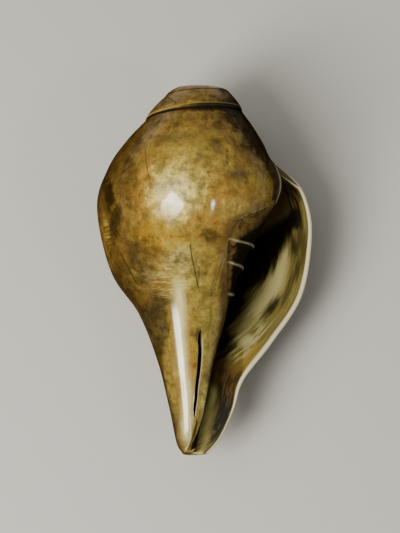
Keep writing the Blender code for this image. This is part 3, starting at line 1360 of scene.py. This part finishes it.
@dataclass(frozen=True)
class OutsideFinish:
    """The polished outside: olive and ochre shell, browner at the flanks and darkened there by painted shade,
    with stained places, cracks, and painted highlights and shade.
    """

    olive: Colour = (0.275, 0.180, 0.024)
    khaki: Colour = (0.44, 0.325, 0.060)
    ochre: Colour = (0.32, 0.19, 0.020)
    amber: Colour = (0.27, 0.125, 0.013)
    brown: Colour = (0.095, 0.050, 0.010)
    umber: Colour = (0.048, 0.027, 0.008)
    darkest_flank_and_shade: Colour = (0.022, 0.014, 0.007)
    cream: Colour = (0.68, 0.61, 0.40)
    shimmer: Colour = (1.5, 1.5, 1.6)
    # Suture colours: the groove partly dirt and partly painted shade, the channel painted shade, the undercut
    # a painted shadow, the ridge a painted highlight.
    groove: Colour = (0.012, 0.008, 0.004)
    channel: Colour = (0.018, 0.014, 0.007)
    undercut: Colour = (0.016, 0.015, 0.011)
    ridge: Colour = (0.36, 0.27, 0.06)
    glaze: Colour = (0.062, 0.049, 0.025)
    glaze_spots: Colour = (0.032, 0.019, 0.007)
    glaze_line: Colour = (0.36, 0.32, 0.2)
    pad_line: Colour = (0.5, 0.44, 0.28)
    # In the order in which they are laid on, so that later ones cover earlier ones.
    stains_and_painted_light: tuple = (
        Patch(-4, 134, 30, 15, 0, (0.22, 0.125, 0.016), 0.75),
        Patch(-27, 66, 8, 22, -28, (0.05, 0.028, 0.006), 0.75),
        Patch(-17, 57, 5.5, 13, -15, (0.03, 0.02, 0.008), 0.9),
        Patch(-14.5, 44, 3.5, 11, -12, (0.045, 0.028, 0.008), 0.85),
        Patch(-23, 80, 6, 6, 0, (0.045, 0.025, 0.008), 0.7),
        Patch(-25, 127, 7, 16, -38, (0.06, 0.031, 0.006), 0.8),
        Patch(-30, 113, 5, 10, -20, (0.06, 0.031, 0.006), 0.7),
        Patch(-37, 82, 3.5, 16, 10, (0.16, 0.085, 0.012), 0.7),
        # Partly painted shade: the right shoulder, turned from the light, darkened over the shell's own dark
        # brown.
        Patch(24, 127, 9.5, 26, 24, (0.02, 0.012, 0.003), 0.95),
        Patch(17, 110, 5.5, 4.5, 0, (0.085, 0.052, 0.02), 0.7),
        Patch(25, 108, 6.5, 12, 24, (0.3, 0.2, 0.03), 0.8),
        Patch(11.5, 63, 2.8, 13, -5, (0.055, 0.031, 0.008), 0.8),
        Patch(-16, 77, 6, 6, 0, (0.11, 0.065, 0.015), 0.6),
        Patch(-12, 75, 14, 5.5, 0, (0.14, 0.09, 0.022), 0.6),
        Patch(-14, 51, 4.5, 15, -12, (0.055, 0.04, 0.012), 0.75),
        Patch(-20, 69, 8, 6, -20, (0.12, 0.08, 0.018), 0.6),
        Patch(-27.5, 104, 4, 8, 0, (0.12, 0.06, 0.01), 0.55),
        Patch(13, 134, 6, 6, 0, (0.05, 0.03, 0.006), 0.65),
        Patch(2, 134, 9, 6, 0, (0.14, 0.085, 0.015), 0.5),
        Patch(-7, 144, 9, 3.5, 0, (0.13, 0.075, 0.01), 0.5),
        Patch(16, 97, 9, 7, 20, (0.3, 0.22, 0.05), 0.6),
        Patch(-21, 104, 5, 17, -4, (0.27, 0.12, 0.013), 0.75),
        Patch(-29, 98, 5, 22, -4, (0.09, 0.045, 0.009), 0.6),
        Patch(8, 106, 5.5, 8, 20, (0.31, 0.15, 0.022), 0.65),
        Patch(-35.5, 103, 3, 9, 8, (0.012, 0.007, 0.002), 0.9),
        Patch(-33, 91, 3, 8, -8, (0.02, 0.012, 0.004), 0.85),
        Patch(5, 85.5, 6.5, 4, -15, (0.07, 0.034, 0.01), 0.85),
        Patch(14, 87, 4.5, 9, 10, (0.11, 0.06, 0.014), 0.5),
        Patch(1, 92, 9, 5, 10, (0.2, 0.105, 0.016), 0.6),
        Patch(-24, 93, 5, 6, 0, (0.16, 0.1, 0.02), 0.5),
        Patch(2, 111, 3, 12, 5, (0.2, 0.12, 0.02), 0.55),
        Patch(7, 121, 3, 5, 10, (0.09, 0.055, 0.015), 0.7),
        Patch(-13, 124, 12, 3, 8, (0.12, 0.07, 0.012), 0.6),
        Patch(-6.5, 77, 5.5, 4, 0, (0.16, 0.145, 0.085), 0.7),
        # Painted highlight: a broad glow and its brighter core round the lamp's reflection on the body.
        Patch(-6, 108, 18, 17, 0, (0.38, 0.28, 0.05), 0.5),
        Patch(-8.5, 102, 11, 13, 0, (0.66, 0.55, 0.17), 0.65),
        # Painted highlight: a pale glow at the top of the cone's long highlight.
        Patch(-6, 72, 8, 10, 0, (0.42, 0.33, 0.08), 0.6),
        Patch(2.5, 62, 7, 22, 4, (0.26, 0.2, 0.036), 0.6),
        Patch(5, 35, 4.5, 24, 4, (0.25, 0.19, 0.038), 0.65),
        Patch(5, 18, 3, 11, 4, (0.5, 0.43, 0.11), 0.8),
        Patch(-9.5, 28, 2.5, 17, 8, (0.26, 0.19, 0.04), 0.6),
        Patch(-4.6, 8, 1.6, 6, 3, (0.05, 0.028, 0.008), 0.7),
        # Partly painted shade: the spire's right side, turned from the light, darkened over its own dark
        # brown.
        Patch(16, 142, 12, 12, -8, (0.016, 0.01, 0.003), 0.93),
        Patch(2, 147, 14, 5, 0, (0.16, 0.095, 0.012), 0.6),
        Patch(-18, 141, 9, 10, 20, (0.12, 0.065, 0.012), 0.75),
    )
    frayed: Patch = Patch(1.2, 47.5, 1.5, 4.5, 0.0, (0.04, 0.028, 0.012), 0.85)
    # Painted highlight: a pale streak down the cone, for the part of the lamp's long reflection that no lamp
    # gives.
    painted_highlight_streak: Stroke = Stroke(
        ((2.0, -3.4), (10.0, -3.0), (22.0, -2.8), (34.5, -4.6), (47.0, -5.7), (59.0, -6.2), (72.0, -8.0)),
        2.0, (0.74, 0.66, 0.33), 0.9, grain=0.8)
    cracks: tuple = (
        Stroke(((64.0, 1.6), (67.5, 0.5), (72.0, -0.5), (77.8, -2.0), (84.0, -2.9)),
               0.28, (0.02, 0.015, 0.01), 0.85),
        Stroke(((66.0, 0.2), (70.0, 0.9), (74.3, 1.2)), 0.3, (0.03, 0.022, 0.015), 0.7),
        Stroke(((106.0, -18.7), (113.0, -20.4), (122.0, -21.4)), 0.3, (0.06, 0.03, 0.01), 0.7),
    )
    slit_edge: Stroke = Stroke(
        ((15.0, 0.9), (20.0, 1.2), (28.0, 1.9), (33.0, 2.45), (38.0, 2.9), (43.0, 2.95), (49.0, 2.75)),
        0.2, (0.62, 0.57, 0.42), 0.8)
    scratches_and_painted_light: tuple = (
        Stroke(((66.0, -22.8), (68.9, -24.4), (73.5, -27.1), (78.6, -29.9), (81.0, -31.0)),
               0.35, (0.03, 0.018, 0.006), 0.8, grain=0.5),
        # Painted highlight: the pale line along the rim of the tip's left lobe.
        Stroke(((1.0, -4.0), (3.0, -2.4), (6.0, -1.3), (10.0, -1.3), (16.0, -1.6)),
               0.45, (0.6, 0.54, 0.36), 0.8),
        # Painted shade: the dark line in the gap between the tip's two lobes.
        Stroke(((1.0, -2.4), (4.5, -1.1), (7.7, 0.0), (11.0, 0.9), (15.0, 1.8)),
               0.6, (0.022, 0.014, 0.006), 0.9),
        Stroke(((-13.2, 144.2), (-11.5, 142.5), (-9.3, 140.3)),
               0.3, (0.015, 0.01, 0.006), 0.9, upright=False),
    )
    polished: Patch = Patch(-11.0, 68.0, 7.0, 6.0, 20.0, (0.58, 0.50, 0.22), 0.7)
    ribbed: Patch = Patch(-36.2, 89.0, 1.3, 7.0, 12.0, (0.45, 0.33, 0.07), 0.55)
    dulled: Patch = Patch(-14.5, 86.0, 11.0, 12.0, -10.0, None, 1.0)
    line_width: float = 0.0035
    rim_width: tuple = ((1.3, 0.3), (2.6, 0.4), (3.3, 0.7), (4.5, 0.9), (5.5, 0.7), (6.3, 0.25), (9.0, 0.25))

    def mottled(self, draft: FinishDraft) -> Reading:
        """The colour before any placed mark: wisps and blots over growth streaks.

        Args:
            draft: the finish.

        Returns:
            The colour.
        """
        clouds = draft.noise(24.0, 4.0, 0.6, twist=0.8)
        wisps = draft.noise(8.0, 7.0, 0.7, twist=0.5)
        blots = draft.noise(11.0, 6.0, 0.68, draft.at + (31.0, 7.0, 3.0), 0.5)
        crumbs = draft.noise(3.4, 5.0, 0.74, draft.at + (5.0, 50.0, 9.0), 0.2)
        veins = draft.noise(12.0, 5.0, 0.6, draft.at + (0.0, 21.0, 40.0), 1.2)
        axial = draft.noise(1.0, 5.0, 0.65, draft.vector(draft.turn * 42.0, draft.place * 0.7, 0.0), 0.3)
        return draft.layered(
            self.olive,
            (wisps.between(0.42, 0.7), self.khaki),
            (clouds.between(0.42, 0.6) * 0.7, self.ochre),
            (blots.between(0.50, 0.60) * 0.75, self.amber),
            (blots.between(0.46, 0.34) * 0.6, self.brown),
            (axial.between(0.52, 0.66) * 0.65, self.brown),
            (axial.between(0.43, 0.34) * 0.45, self.khaki),
            (crumbs.between(0.53, 0.66) * 0.65, self.brown),
            (crumbs.between(0.64, 0.72) * 0.7, self.umber),
            (veins.hump(0.5, 0.01) * 0.45, self.khaki),
        )

    def darker_flanks_and_shade(self, draft: FinishDraft, colour: Reading) -> Reading:
        """Darkens the flanks and the back the more they turn from the front: partly the shell's browner
        flanks, partly painted shade.

        Args:
            draft: the finish.
            colour: the mottled colour.

        Returns:
            The darker colour.
        """
        facing = draft.facing()
        patchy = (draft.noise(15.0, 6.0, 0.68, draft.at + (70.0, 0.0, 12.0), 0.8) - 0.5) * 1.3
        behind = facing.between(0.1, -0.5)
        return draft.layered(
            colour,
            # Painted shade over the shell's own browner tone: darker the more the surface turns from the
            # front.
            ((facing + patchy * 0.8).between(0.88, 0.4) * (0.85 - behind * 0.3), self.brown),
            ((facing + patchy).between(0.55, 0.05) * (0.85 - behind * 0.4), self.darkest_flank_and_shade),
        )

    def stained(self, draft: FinishDraft, colour: Reading, ragged: Reading) -> Reading:
        """Lays on the stained and rubbed places, the painted highlight glow and the painted shade in their
        order, and flecks the whole.

        Args:
            draft: the finish.
            colour: the mottled colour with the darkened flanks.
            ragged: the noise that breaks their edges.

        Returns:
            The stained colour.
        """
        grain = draft.noise(5.0, 7.0, 0.75, draft.at + (3.0, 8.0, 60.0)).between(0.34, 0.68) * 1.4 + 0.4
        grey = draft.vector(grain, grain, grain)
        for placed_patch in self.stains_and_painted_light:
            grained = draft.mix(1.0, placed_patch.tint, grey, "MULTIPLY")
            colour = draft.mix(placed_patch.mask(draft, ragged), colour, grained)
        flecks = draft.noise(4.5, 7.0, 0.74, draft.at + (80.0, 3.0, 44.0), 0.3)
        colour = draft.mix(flecks.between(0.55, 0.68) * 0.7, colour, self.brown)
        brighter = draft.mix(1.0, colour, self.shimmer, "MULTIPLY")
        return draft.mix(flecks.between(0.46, 0.36) * 0.7, colour, brighter)

    def marked(self, draft: FinishDraft, colour: Reading, ragged: Reading) -> Reading:
        """Draws the fine marks: frayed slit, a painted highlight streak down the cone, cracks, slit edge,
        scratch marks, a painted highlight and painted shade at the tip, polishing lines and old ribs.

        Args:
            draft: the finish.
            colour: the stained colour.
            ragged: the noise that breaks them.

        Returns:
            The marked colour.
        """
        colour = draft.mix(self.frayed.mask(draft, ragged * 0.7), colour, self.frayed.tint)
        for stroke in (self.painted_highlight_streak, *self.cracks, self.slit_edge, *self.scratches_and_painted_light):
            colour = draft.mix(stroke.mask(draft, ragged), colour, stroke.tint)
        lines = draft.noise(1.0, 3.0, 0.6, draft.vector(draft.x * 0.16, draft.y * 1.5, draft.z * 0.1), 1.2)
        ribs = draft.noise(1.0, 1.0, 0.5, draft.vector(draft.x * 0.1, draft.y * 1.7, draft.z * 0.02))
        return draft.layered(
            colour,
            (self.polished.mask(draft, ragged * 0.5) * lines.between(0.52, 0.6), self.polished.tint),
            (self.ribbed.mask(draft, ragged * 0.4) * ribs.between(0.42, 0.6), self.ribbed.tint),
        )

    def sutured(self, draft: FinishDraft, colour: Reading) -> Reading:
        """Marks the suture with painted light and shade: a dark groove, partly dirt and partly painted shade,
        a channel of painted shade below it on the side away from the light, a painted shadow under the ridge,
        and a painted highlight along the pale ridge above.

        Args:
            draft: the finish.
            colour: the marked colour.

        Returns:
            The colour with the suture.
        """
        newest = draft.last_turn()
        youngest = draft.turn.between(-2.05, -1.95)
        below = draft.place + (1.0 - newest) * 10.0
        above = (2.0 - draft.place) + newest * 10.0
        right = draft.x.between(-16.0, 2.0)
        smoke = (draft.noise(3.0, 4.0, 0.6) - 0.5) * 0.2
        ridge = (above - right * 0.24).hump(0.14, 0.075 - right * 0.04) * youngest * (1.0 + smoke * 5.0)
        return draft.layered(
            colour,
            # Painted shade in the channel, strongest on the right, away from the light.
            ((below + smoke).between(0.32, 0.1) * (right * 0.95 + 0.05), self.channel),
            # Painted shadow under the ridge.
            ((above + smoke * 0.5).between(0.34, 0.26) * right * youngest * 0.93, self.undercut),
            # Painted highlight along the ridge, where it faces the light.
            (ridge * (1.0 - right * 0.2) * 0.8, self.ridge),
            # The groove's dark: partly dirt, partly painted shade.
            (above.sum_up("MINIMUM", below).between(0.11, 0.05) * 0.93, self.groove),
        )

    def edged(self, draft: FinishDraft, colour: Reading, glaze_edge: tuple) -> Reading:
        """Marks the callus's glaze band, the pale line where the glaze ends, and the lip's cream rim, which
        is the lip's pale edge widened by painted highlight where it catches the light.

        Args:
            draft: the finish.
            colour: the colour with the suture.
            glaze_edge: where the inner lip's glaze ends, as (place, turn) pairs.

        Returns:
            The whole colour.
        """
        place, past = draft.place, draft.turn + 1.0
        newest = draft.last_turn()
        spots = draft.noise(3.0, 4.0, 0.6).between(0.45, 0.6)
        band = past.between(0.107, 0.098) * place.between(2.2, 2.35) * place.between(3.4, 3.3)
        edge = past - draft.curve(place, glaze_edge)
        grubby = edge.between(0.055, 0.005) * place.between(3.3, 3.7) * place.between(6.2, 5.4)
        line = edge.hump(0.003, self.line_width) * place.between(8.9, 8.0)
        pad = past.hump(0.060, 0.007) * place.between(2.2, 2.5) * place.between(3.45, 3.3)
        rim = draft.lip - draft.curve(place, self.rim_width)
        return draft.layered(
            colour,
            (band * newest, draft.mix(spots * 0.7, self.glaze, self.glaze_spots)),
            (grubby * newest * 0.8, self.brown),
            (line * newest * (place.between(4.4, 3.3) * 0.6 + 0.25), self.glaze_line),
            (pad * newest * 0.9, self.pad_line),
            # The cream rim: the lip's pale edge, widened by painted highlight at places 3 to 6.
            (rim.between(0.4, -0.3), self.cream),
        )

    def gloss(self, draft: FinishDraft, colour: Reading, ragged: Reading) -> Reading:
        """How strongly it shines: where hands rub it, less where it is dark, smudged or dulled.

        Args:
            draft: the finish.
            colour: the whole colour.
            ragged: the noise that breaks the dulled place's edge.

        Returns:
            The coat's weight.
        """
        rubbed = draft.facing().between(0.45, 0.9)
        smudges = draft.noise(12.0, 4.0, 0.6)
        bright = draft.add("ShaderNodeRGBToBW", {}, {"Color": colour}).between(0.02, 0.14)
        dulled = self.dulled.mask(draft, ragged * 0.6)
        return (rubbed * 0.95 + 0.05) * (1.35 - smudges * 0.8) * (bright * 0.85 + 0.15) * (1.0 - dulled)

    def relief(self, draft: FinishDraft) -> Reading:
        """The fine relief: swells, growth streaks, waves across them, and pits.

        Args:
            draft: the finish.

        Returns:
            The height.
        """
        swells = draft.noise(7.0, 2.0, 0.5, draft.at + (9.0, 9.0, 9.0))
        streaks = draft.noise(1.0, 2.0, 0.5, draft.vector(draft.turn * 150.0, draft.place * 0.8, 0.0))
        waves = draft.noise(1.0, 2.0, 0.5, draft.vector(draft.x * 0.12, draft.y * 1.1, draft.z * 0.12))
        pits = draft.noise(0.9, 2.0, 0.5).between(0.7, 0.55)
        return swells * 0.45 + streaks * 0.35 + waves * 0.3 + pits * 0.2

    def build(self, draft: FinishDraft, glaze_edge: tuple) -> bpy.types.Material:
        """Makes the material.

        Args:
            draft: the empty finish.
            glaze_edge: where the inner lip's glaze ends, as (place, turn) pairs.

        Returns:
            The material.
        """
        ragged = (draft.noise(5.0, 6.0, 0.7) - 0.5) * 2.0
        colour = self.stained(draft, self.darker_flanks_and_shade(draft, self.mottled(draft)), ragged)
        colour = self.sutured(draft, self.marked(draft, colour, ragged))
        colour = self.edged(draft, colour, glaze_edge)
        draft.set(
            Base_Color=colour, Roughness=0.6, Specular_IOR_Level=0.0,
            Coat_Weight=self.gloss(draft, colour, ragged), Coat_Roughness=0.12, Coat_IOR=1.7)
        draft.bump(self.relief(draft), 0.5, 0.16)
        return draft.material


@dataclass(frozen=True)
class HollowFinish:
    """The glazed inside: a cream rim with painted highlight, an olive bevel, pale and dark streaks, a painted
    pool of light inside the outer lip with painted shadow round it, and black glaze under painted shade
    further in.
    """

    cream: Colour = (0.74, 0.67, 0.46)
    olive: Colour = (0.165, 0.128, 0.036)
    khaki: Colour = (0.28, 0.232, 0.068)
    # pale: painted light, for the pool inside the outer lip.
    pale: Colour = (0.57, 0.50, 0.22)
    tan: Colour = (0.36, 0.23, 0.045)
    bark: Colour = (0.026, 0.017, 0.007)
    deep: Colour = (0.010, 0.007, 0.004)
    roof: Colour = (0.16, 0.11, 0.032)
    roof_inside: Colour = (0.15, 0.10, 0.034)
    rust: Colour = (0.05, 0.03, 0.010)
    pale_rust: Colour = (0.115, 0.068, 0.02)
    moss: Colour = (0.085, 0.07, 0.03)
    pale_moss: Colour = (0.20, 0.165, 0.065)
    straw: Colour = (0.62, 0.53, 0.19)
    glaze: Colour = (0.17, 0.11, 0.032)
    glaze_smoke: Colour = (0.055, 0.033, 0.010)
    fold_crest: Colour = (0.36, 0.32, 0.2)
    rim_width: tuple = ((1.3, 0.3), (2.6, 0.5), (3.3, 1.0), (4.5, 1.4), (5.5, 1.0), (6.3, 0.3), (9.0, 0.3))
    canal_streak: tuple = ((6.5, 10.8), (7.2, 9.6), (7.8, 7.6), (8.6, 5.0), (9.0, 3.6))
    brush_marks: tuple = (
        Patch(7.5, 35.5, 2.4, 3, 0, (0.035, 0.024, 0.009), 0.85),
        Patch(18.5, 49, 5, 3.4, 0, (0.26, 0.21, 0.07), 0.65),
        Patch(11.5, 32, 3.2, 3, 0, (0.026, 0.018, 0.008), 0.88),
        Patch(14, 43.5, 3.4, 3.2, 0, (0.022, 0.015, 0.007), 0.92),
        Patch(10, 39.5, 2.6, 5, 0, (0.07, 0.052, 0.018), 0.75),
        Patch(8, 30.5, 4.5, 3, 0, (0.04, 0.029, 0.011), 0.8),
        Patch(3.5, 33, 1.6, 5, 0, (0.12, 0.092, 0.025), 0.75),
        Patch(5, 31, 5.5, 5.5, 0, (0.08, 0.062, 0.018), 0.7),
        Patch(5.5, 58.8, 4.5, 2.4, 0, (0.13, 0.082, 0.022), 0.8),
        Patch(12.5, 52, 4, 2, 0, (0.62, 0.55, 0.26), 0.8),
        Patch(4.5, 72, 5, 8.5, 10, (0.021, 0.022, 0.018), 0.95),
        Patch(2, 60.5, 2.2, 2.2, 0, (0.045, 0.03, 0.012), 0.7),
    )

    def inner_lip(self, draft: FinishDraft) -> Reading:
        """The colour inside the outer lip, by its distance behind the rim: a pale pool of painted light where
        the lamp reaches in, and painted shadow beyond it.

        Args:
            draft: the finish.

        Returns:
            The colour.
        """
        lip, place = draft.lip, draft.place
        brushed = draft.noise(1.0, 5.0, 0.65, draft.vector(lip * 0.5, place * 1.1, 0.0), 0.6)
        ragged = (brushed - 0.5) * 1.1
        gold = place.between(5.0, 5.35) * (lip + ragged * 3.0).between(9.0, 6.0)
        # The painted pool of light lies between these two edges; the lower one follows the columella's cast
        # shadow.
        above = place - 2.9 - (lip - 14.0) * 0.088 + ragged * 0.7
        below = 5.75 - (lip - 11.0) * 0.093 - place + ragged * 0.7
        lit = above.between(-0.25, 0.25) * below.between(-0.3, 0.3)
        deep_enough = (lip + ragged * 5.0).between(12.0, 18.0) * lip.between(27.0, 20.0)
        core = lit * place.between(3.05, 3.35) * deep_enough
        fringe = lit * place.between(4.5, 4.9) * lip.between(5.0, 8.0) * brushed.between(0.45, 0.6)
        thin = brushed.between(0.56, 0.66) * lip.between(3.5, 6.0) * 0.7
        top = (place + ragged * 0.25).between(2.9, 2.7) * lip.between(4.5, 7.0)
        roof = (place - lip * 0.042 + ragged * 0.25).between(1.85, 1.5) * lip.between(0.8, 1.6)
        roof_colour = draft.mix(brushed.between(0.42, 0.58), self.roof, self.bark)
        roof_colour = draft.mix(lip.between(11.0, 15.0), roof_colour, self.roof_inside)
        return draft.layered(
            self.olive,
            (brushed.between(0.38, 0.62), self.khaki),
            (gold * brushed.between(0.3, 0.5) * 0.85, self.tan),
            # Painted light: the pale core and fringe of the pool.
            (core, self.pale),
            (fringe * 0.8, self.pale),
            (thin * place.between(5.6, 5.2) * (1.0 - core), self.bark),
            # Painted shadow outside the pool of light.
            ((1.0 - lit) * lip.between(8.0, 13.0), self.deep),
            # Black top of the cavity: painted shade over the dark glaze.
            (top * 0.95, self.deep),
            (roof * lip.between(40.0, 28.0), roof_colour),
        )

    def canal(self, draft: FinishDraft, colour: Reading) -> Reading:
        """Paints the canal's floor: rusty brown, then slate grey beside a yellow streak of painted light.

        Args:
            draft: the finish.
            colour: the colour inside the outer lip.

        Returns:
            The colour with the canal.
        """
        lip, place = draft.lip, draft.place
        smears = draft.noise(1.0, 5.0, 0.65, draft.vector(lip * 0.6, place * 1.7, 8.0), 0.3)
        blotch = smears.between(0.4, 0.6)
        rusty = draft.mix(blotch, self.rust, self.pale_rust)
        mossy = draft.mix(blotch, self.moss, self.pale_moss)
        floor = draft.mix((place + smears).between(7.2, 8.0), rusty, mossy)
        colour = draft.mix((place + smears * 0.6).between(6.0, 6.4), colour, floor)
        chart = draft.vector(lip, place * 10.0, 0.0)
        for mark in self.brush_marks:
            colour = draft.mix(mark.mask(draft, (smears - 0.5) * 2.6, chart), colour, mark.tint)
        # Painted light: the yellow streak where the lamp reaches the canal's floor past the inner lip.
        streak = (lip - draft.curve(place, self.canal_streak)).hump(0.0, 1.3) * place.between(6.5, 6.8)
        return draft.mix(streak * smears.between(0.2, 0.5) * 0.9, colour, self.straw)

    def columella(self, draft: FinishDraft, glaze_edge: tuple) -> Reading:
        """The glaze on the inner side: brown where it leaves the body, black beyond, with painted highlights
        along the folds' crests.

        Args:
            draft: the finish.
            glaze_edge: where the glaze ends, as (place, turn) pairs.

        Returns:
            Its colour.
        """
        turn, place = draft.turn, draft.place
        smoke = draft.noise(5.0, 5.0, 0.68, twist=0.8)
        near = draft.curve(place, glaze_edge) - turn + (smoke - 0.5) * 0.06
        wide = place.between(4.3, 3.6) * 0.18 + 0.03
        brown = draft.mix(smoke.between(0.42, 0.66), self.glaze, self.glaze_smoke)
        colour = draft.mix((near / wide).between(1.0, 0.1), self.deep, brown)
        for start, slope in ShellHollow.folds_at:
            climb = turn.sum_up("MAXIMUM", 0.0) * slope
            crest = (place + climb).hump(start, 0.024) * turn.between(-0.06, 0.01)
            # Painted highlight: the fold crests catching the light.
            colour = draft.mix(crest * smoke.between(0.25, 0.5) * 0.9, colour, self.fold_crest)
        return colour

    def build(self, draft: FinishDraft, glaze_edge: tuple) -> bpy.types.Material:
        """Makes the material.

        Args:
            draft: the empty finish.
            glaze_edge: where the inner lip's glaze ends, as (place, turn) pairs.

        Returns:
            The material.
        """
        inner = draft.turn.between(0.0, 0.003)
        rim = (draft.lip - draft.curve(draft.place, self.rim_width)).between(0.45, -0.25) * (1.0 - inner)
        colour = draft.layered(
            self.canal(draft, self.inner_lip(draft)),
            # Painted shade over the dark glaze further inside the hollow.
            (draft.turn.between(-0.12, -0.17) * draft.place.between(7.5, 6.5), self.deep),
            # The cream rim: the lip's pale edge, widened by painted highlight where it catches the light.
            (rim, self.cream),
            (inner, self.columella(draft, glaze_edge)),
        )
        fine = draft.noise(1.0, 4.0, 0.6, draft.vector(draft.lip * 1.3, draft.place * 0.8, 0.0))
        draft.set(
            Base_Color=colour, Roughness=0.6, Specular_IOR_Level=0.0,
            Coat_Weight=rim * 0.4 + 0.03, Coat_Roughness=0.2)
        draft.bump(fine, 0.4, 0.2)
        return draft.material


@dataclass(frozen=True)
class CutFinish:
    """Ground and broken edges: the face across the apex, the drilled hole, and the slit's walls."""

    bone: Colour = (0.42, 0.34, 0.19)
    bone_rings: Colour = (0.20, 0.14, 0.055)
    hole_edge: Colour = (0.10, 0.065, 0.025)
    hole: Colour = (0.05, 0.03, 0.012)
    drab: Colour = (0.11, 0.088, 0.045)
    dusty: Colour = (0.17, 0.14, 0.08)
    dark: Colour = (0.02, 0.014, 0.008)
    ring_step: float = 5.0
    slit_ends: tuple = (60.0, 62.0)
    hole_starts: tuple = (125.0, 126.0)
    face_starts: tuple = (148.0, 148.6)

    def build(self, draft: FinishDraft) -> bpy.types.Material:
        """Makes the material.

        Args:
            draft: the empty finish.

        Returns:
            The material.
        """
        grain = draft.noise(2.0, 4.0, 0.6)
        radius = draft.radius()
        rings = (radius * self.ring_step + grain * 3.0).sum_up("SINE") * 0.5 + 0.5
        ground = draft.layered(
            self.bone,
            (rings * 0.35 + grain * 0.4, self.bone_rings),
            (radius.between(4.6, 3.8), self.hole_edge),
        )
        face = draft.y.between(*self.face_starts)
        colour = draft.layered(
            self.dark,
            (draft.y.between(*self.slit_ends), draft.mix(grain, self.drab, self.dusty)),
            (face, ground),
            (draft.y.between(*self.hole_starts) * (1.0 - face), self.hole),
        )
        draft.set(Base_Color=colour, Roughness=grain * 0.2 + 0.38, Specular_IOR_Level=0.35)
        draft.bump(grain * 0.6 + rings * 0.4, 0.25, 0.15)
        return draft.material


# ---------------------------------------------------------------- floor, light and camera


@dataclass(frozen=True)
class Lamp:
    """One soft lamp: the way it hangs from what it points at, how far off, its face, and its watts."""

    name: str
    towards: tuple
    away: float
    face: tuple
    power: float
    colour: Colour = (1.0, 0.97, 0.86)
    aim: tuple = (0.0, 0.0, 0.05)

    def hang(self) -> None:
        """Adds the lamp to the scene."""
        light = bpy.data.lights.new(self.name, "AREA")
        light.shape = "RECTANGLE"
        light.size, light.size_y = self.face
        light.energy = self.power
        light.color = self.colour
        lamp = linked(self.name, light)
        lamp.location = Vector(self.aim) + Vector(self.towards).normalized() * self.away
        lamp.rotation_mode = "QUATERNION"
        lamp.rotation_quaternion = (Vector(self.aim) - lamp.location).to_track_quat("-Z", "Y")


@dataclass
class Studio:
    """A pale floor, soft light and the camera above the shell."""

    shape: ShapeTree
    lamps: tuple = (
        Lamp("softbox", (-0.49, -0.41, 0.77), 0.95, (0.3, 0.56), 11.0),
        Lamp("upper_softbox", (-0.45, 0.0, 0.9), 0.97, (0.6, 0.8), 2.5),
        Lamp("fill", (0.5, -0.36, 0.8), 1.4, (0.13, 0.13), 1.2),
    )
    sky: tuple = (1.0, 0.98, 0.9, 1.0)
    sky_strength: float = 0.2
    floor_side: float = 6.0
    floor_colour: tuple = (0.62, 0.61, 0.59, 1.0)
    floor_roughness: float = 0.8
    distance: float = 0.9
    width_seen: float = 0.1624
    picture_shape: float = 533 / 400
    aim: tuple = (0.00138, 0.0765, 0.0)
    tilt: float = 6.0
    roll: float = 1.1

    def pose(self) -> Matrix:
        """The shell's resting pose."""
        turn = Euler([math.radians(a) for a in self.shape.rest_turn]).to_matrix().to_4x4()
        return Matrix.Translation(Vector(self.shape.rest_place) * MM) @ turn

    def camera(self) -> None:
        """Puts the camera where it sees the opening from above."""
        lens = bpy.data.cameras.new("camera")
        lens.sensor_fit = "AUTO"
        lens.angle = 2 * math.atan(self.width_seen * self.picture_shape / 2 / self.distance)
        lens.clip_start, lens.clip_end = 0.01, 20
        camera = linked("camera", lens)
        camera.matrix_world = (
            self.pose() @ Matrix.Translation(self.aim)
            @ Matrix.Rotation(math.radians(self.tilt), 4, "X")
            @ Matrix.Rotation(math.radians(self.roll), 4, "Z")
            @ Matrix.Translation((0.0, 0.0, self.distance)))
        bpy.context.scene.camera = camera

    def floor(self) -> None:
        """Lays the pale floor."""
        half = self.floor_side / 2
        mesh = bpy.data.meshes.new("floor")
        mesh.from_pydata([(-half, -half, 0), (half, -half, 0), (half, half, 0), (-half, half, 0)],
                         [], [(0, 1, 2, 3)])
        material = bpy.data.materials.new("floor")
        material.use_nodes = True
        shader = material.node_tree.nodes["Principled BSDF"]
        shader.inputs["Base Color"].default_value = self.floor_colour
        shader.inputs["Roughness"].default_value = self.floor_roughness
        mesh.materials.append(material)
        linked("floor", mesh)

    def build(self) -> None:
        """Sets the floor, the lamps, the sky's faint light and the camera."""
        self.floor()
        for lamp in self.lamps:
            lamp.hang()
        world = bpy.data.worlds.new("studio")
        world.use_nodes = True
        background = world.node_tree.nodes["Background"]
        background.inputs["Color"].default_value = self.sky
        background.inputs["Strength"].default_value = self.sky_strength
        bpy.context.scene.world = world
        self.camera()


def main() -> None:
    """Builds the shell and its studio, and reports each piece."""
    logging.basicConfig(level=logging.INFO, format="%(name)s: %(message)s")
    shell = ConchShell()
    piece = shell.build()
    log.info("%s: %d faces", piece.name, len(piece.data.polygons))
    Studio(ShapeTree(shell.rule)).build()


if __name__ == "__main__":
    main()
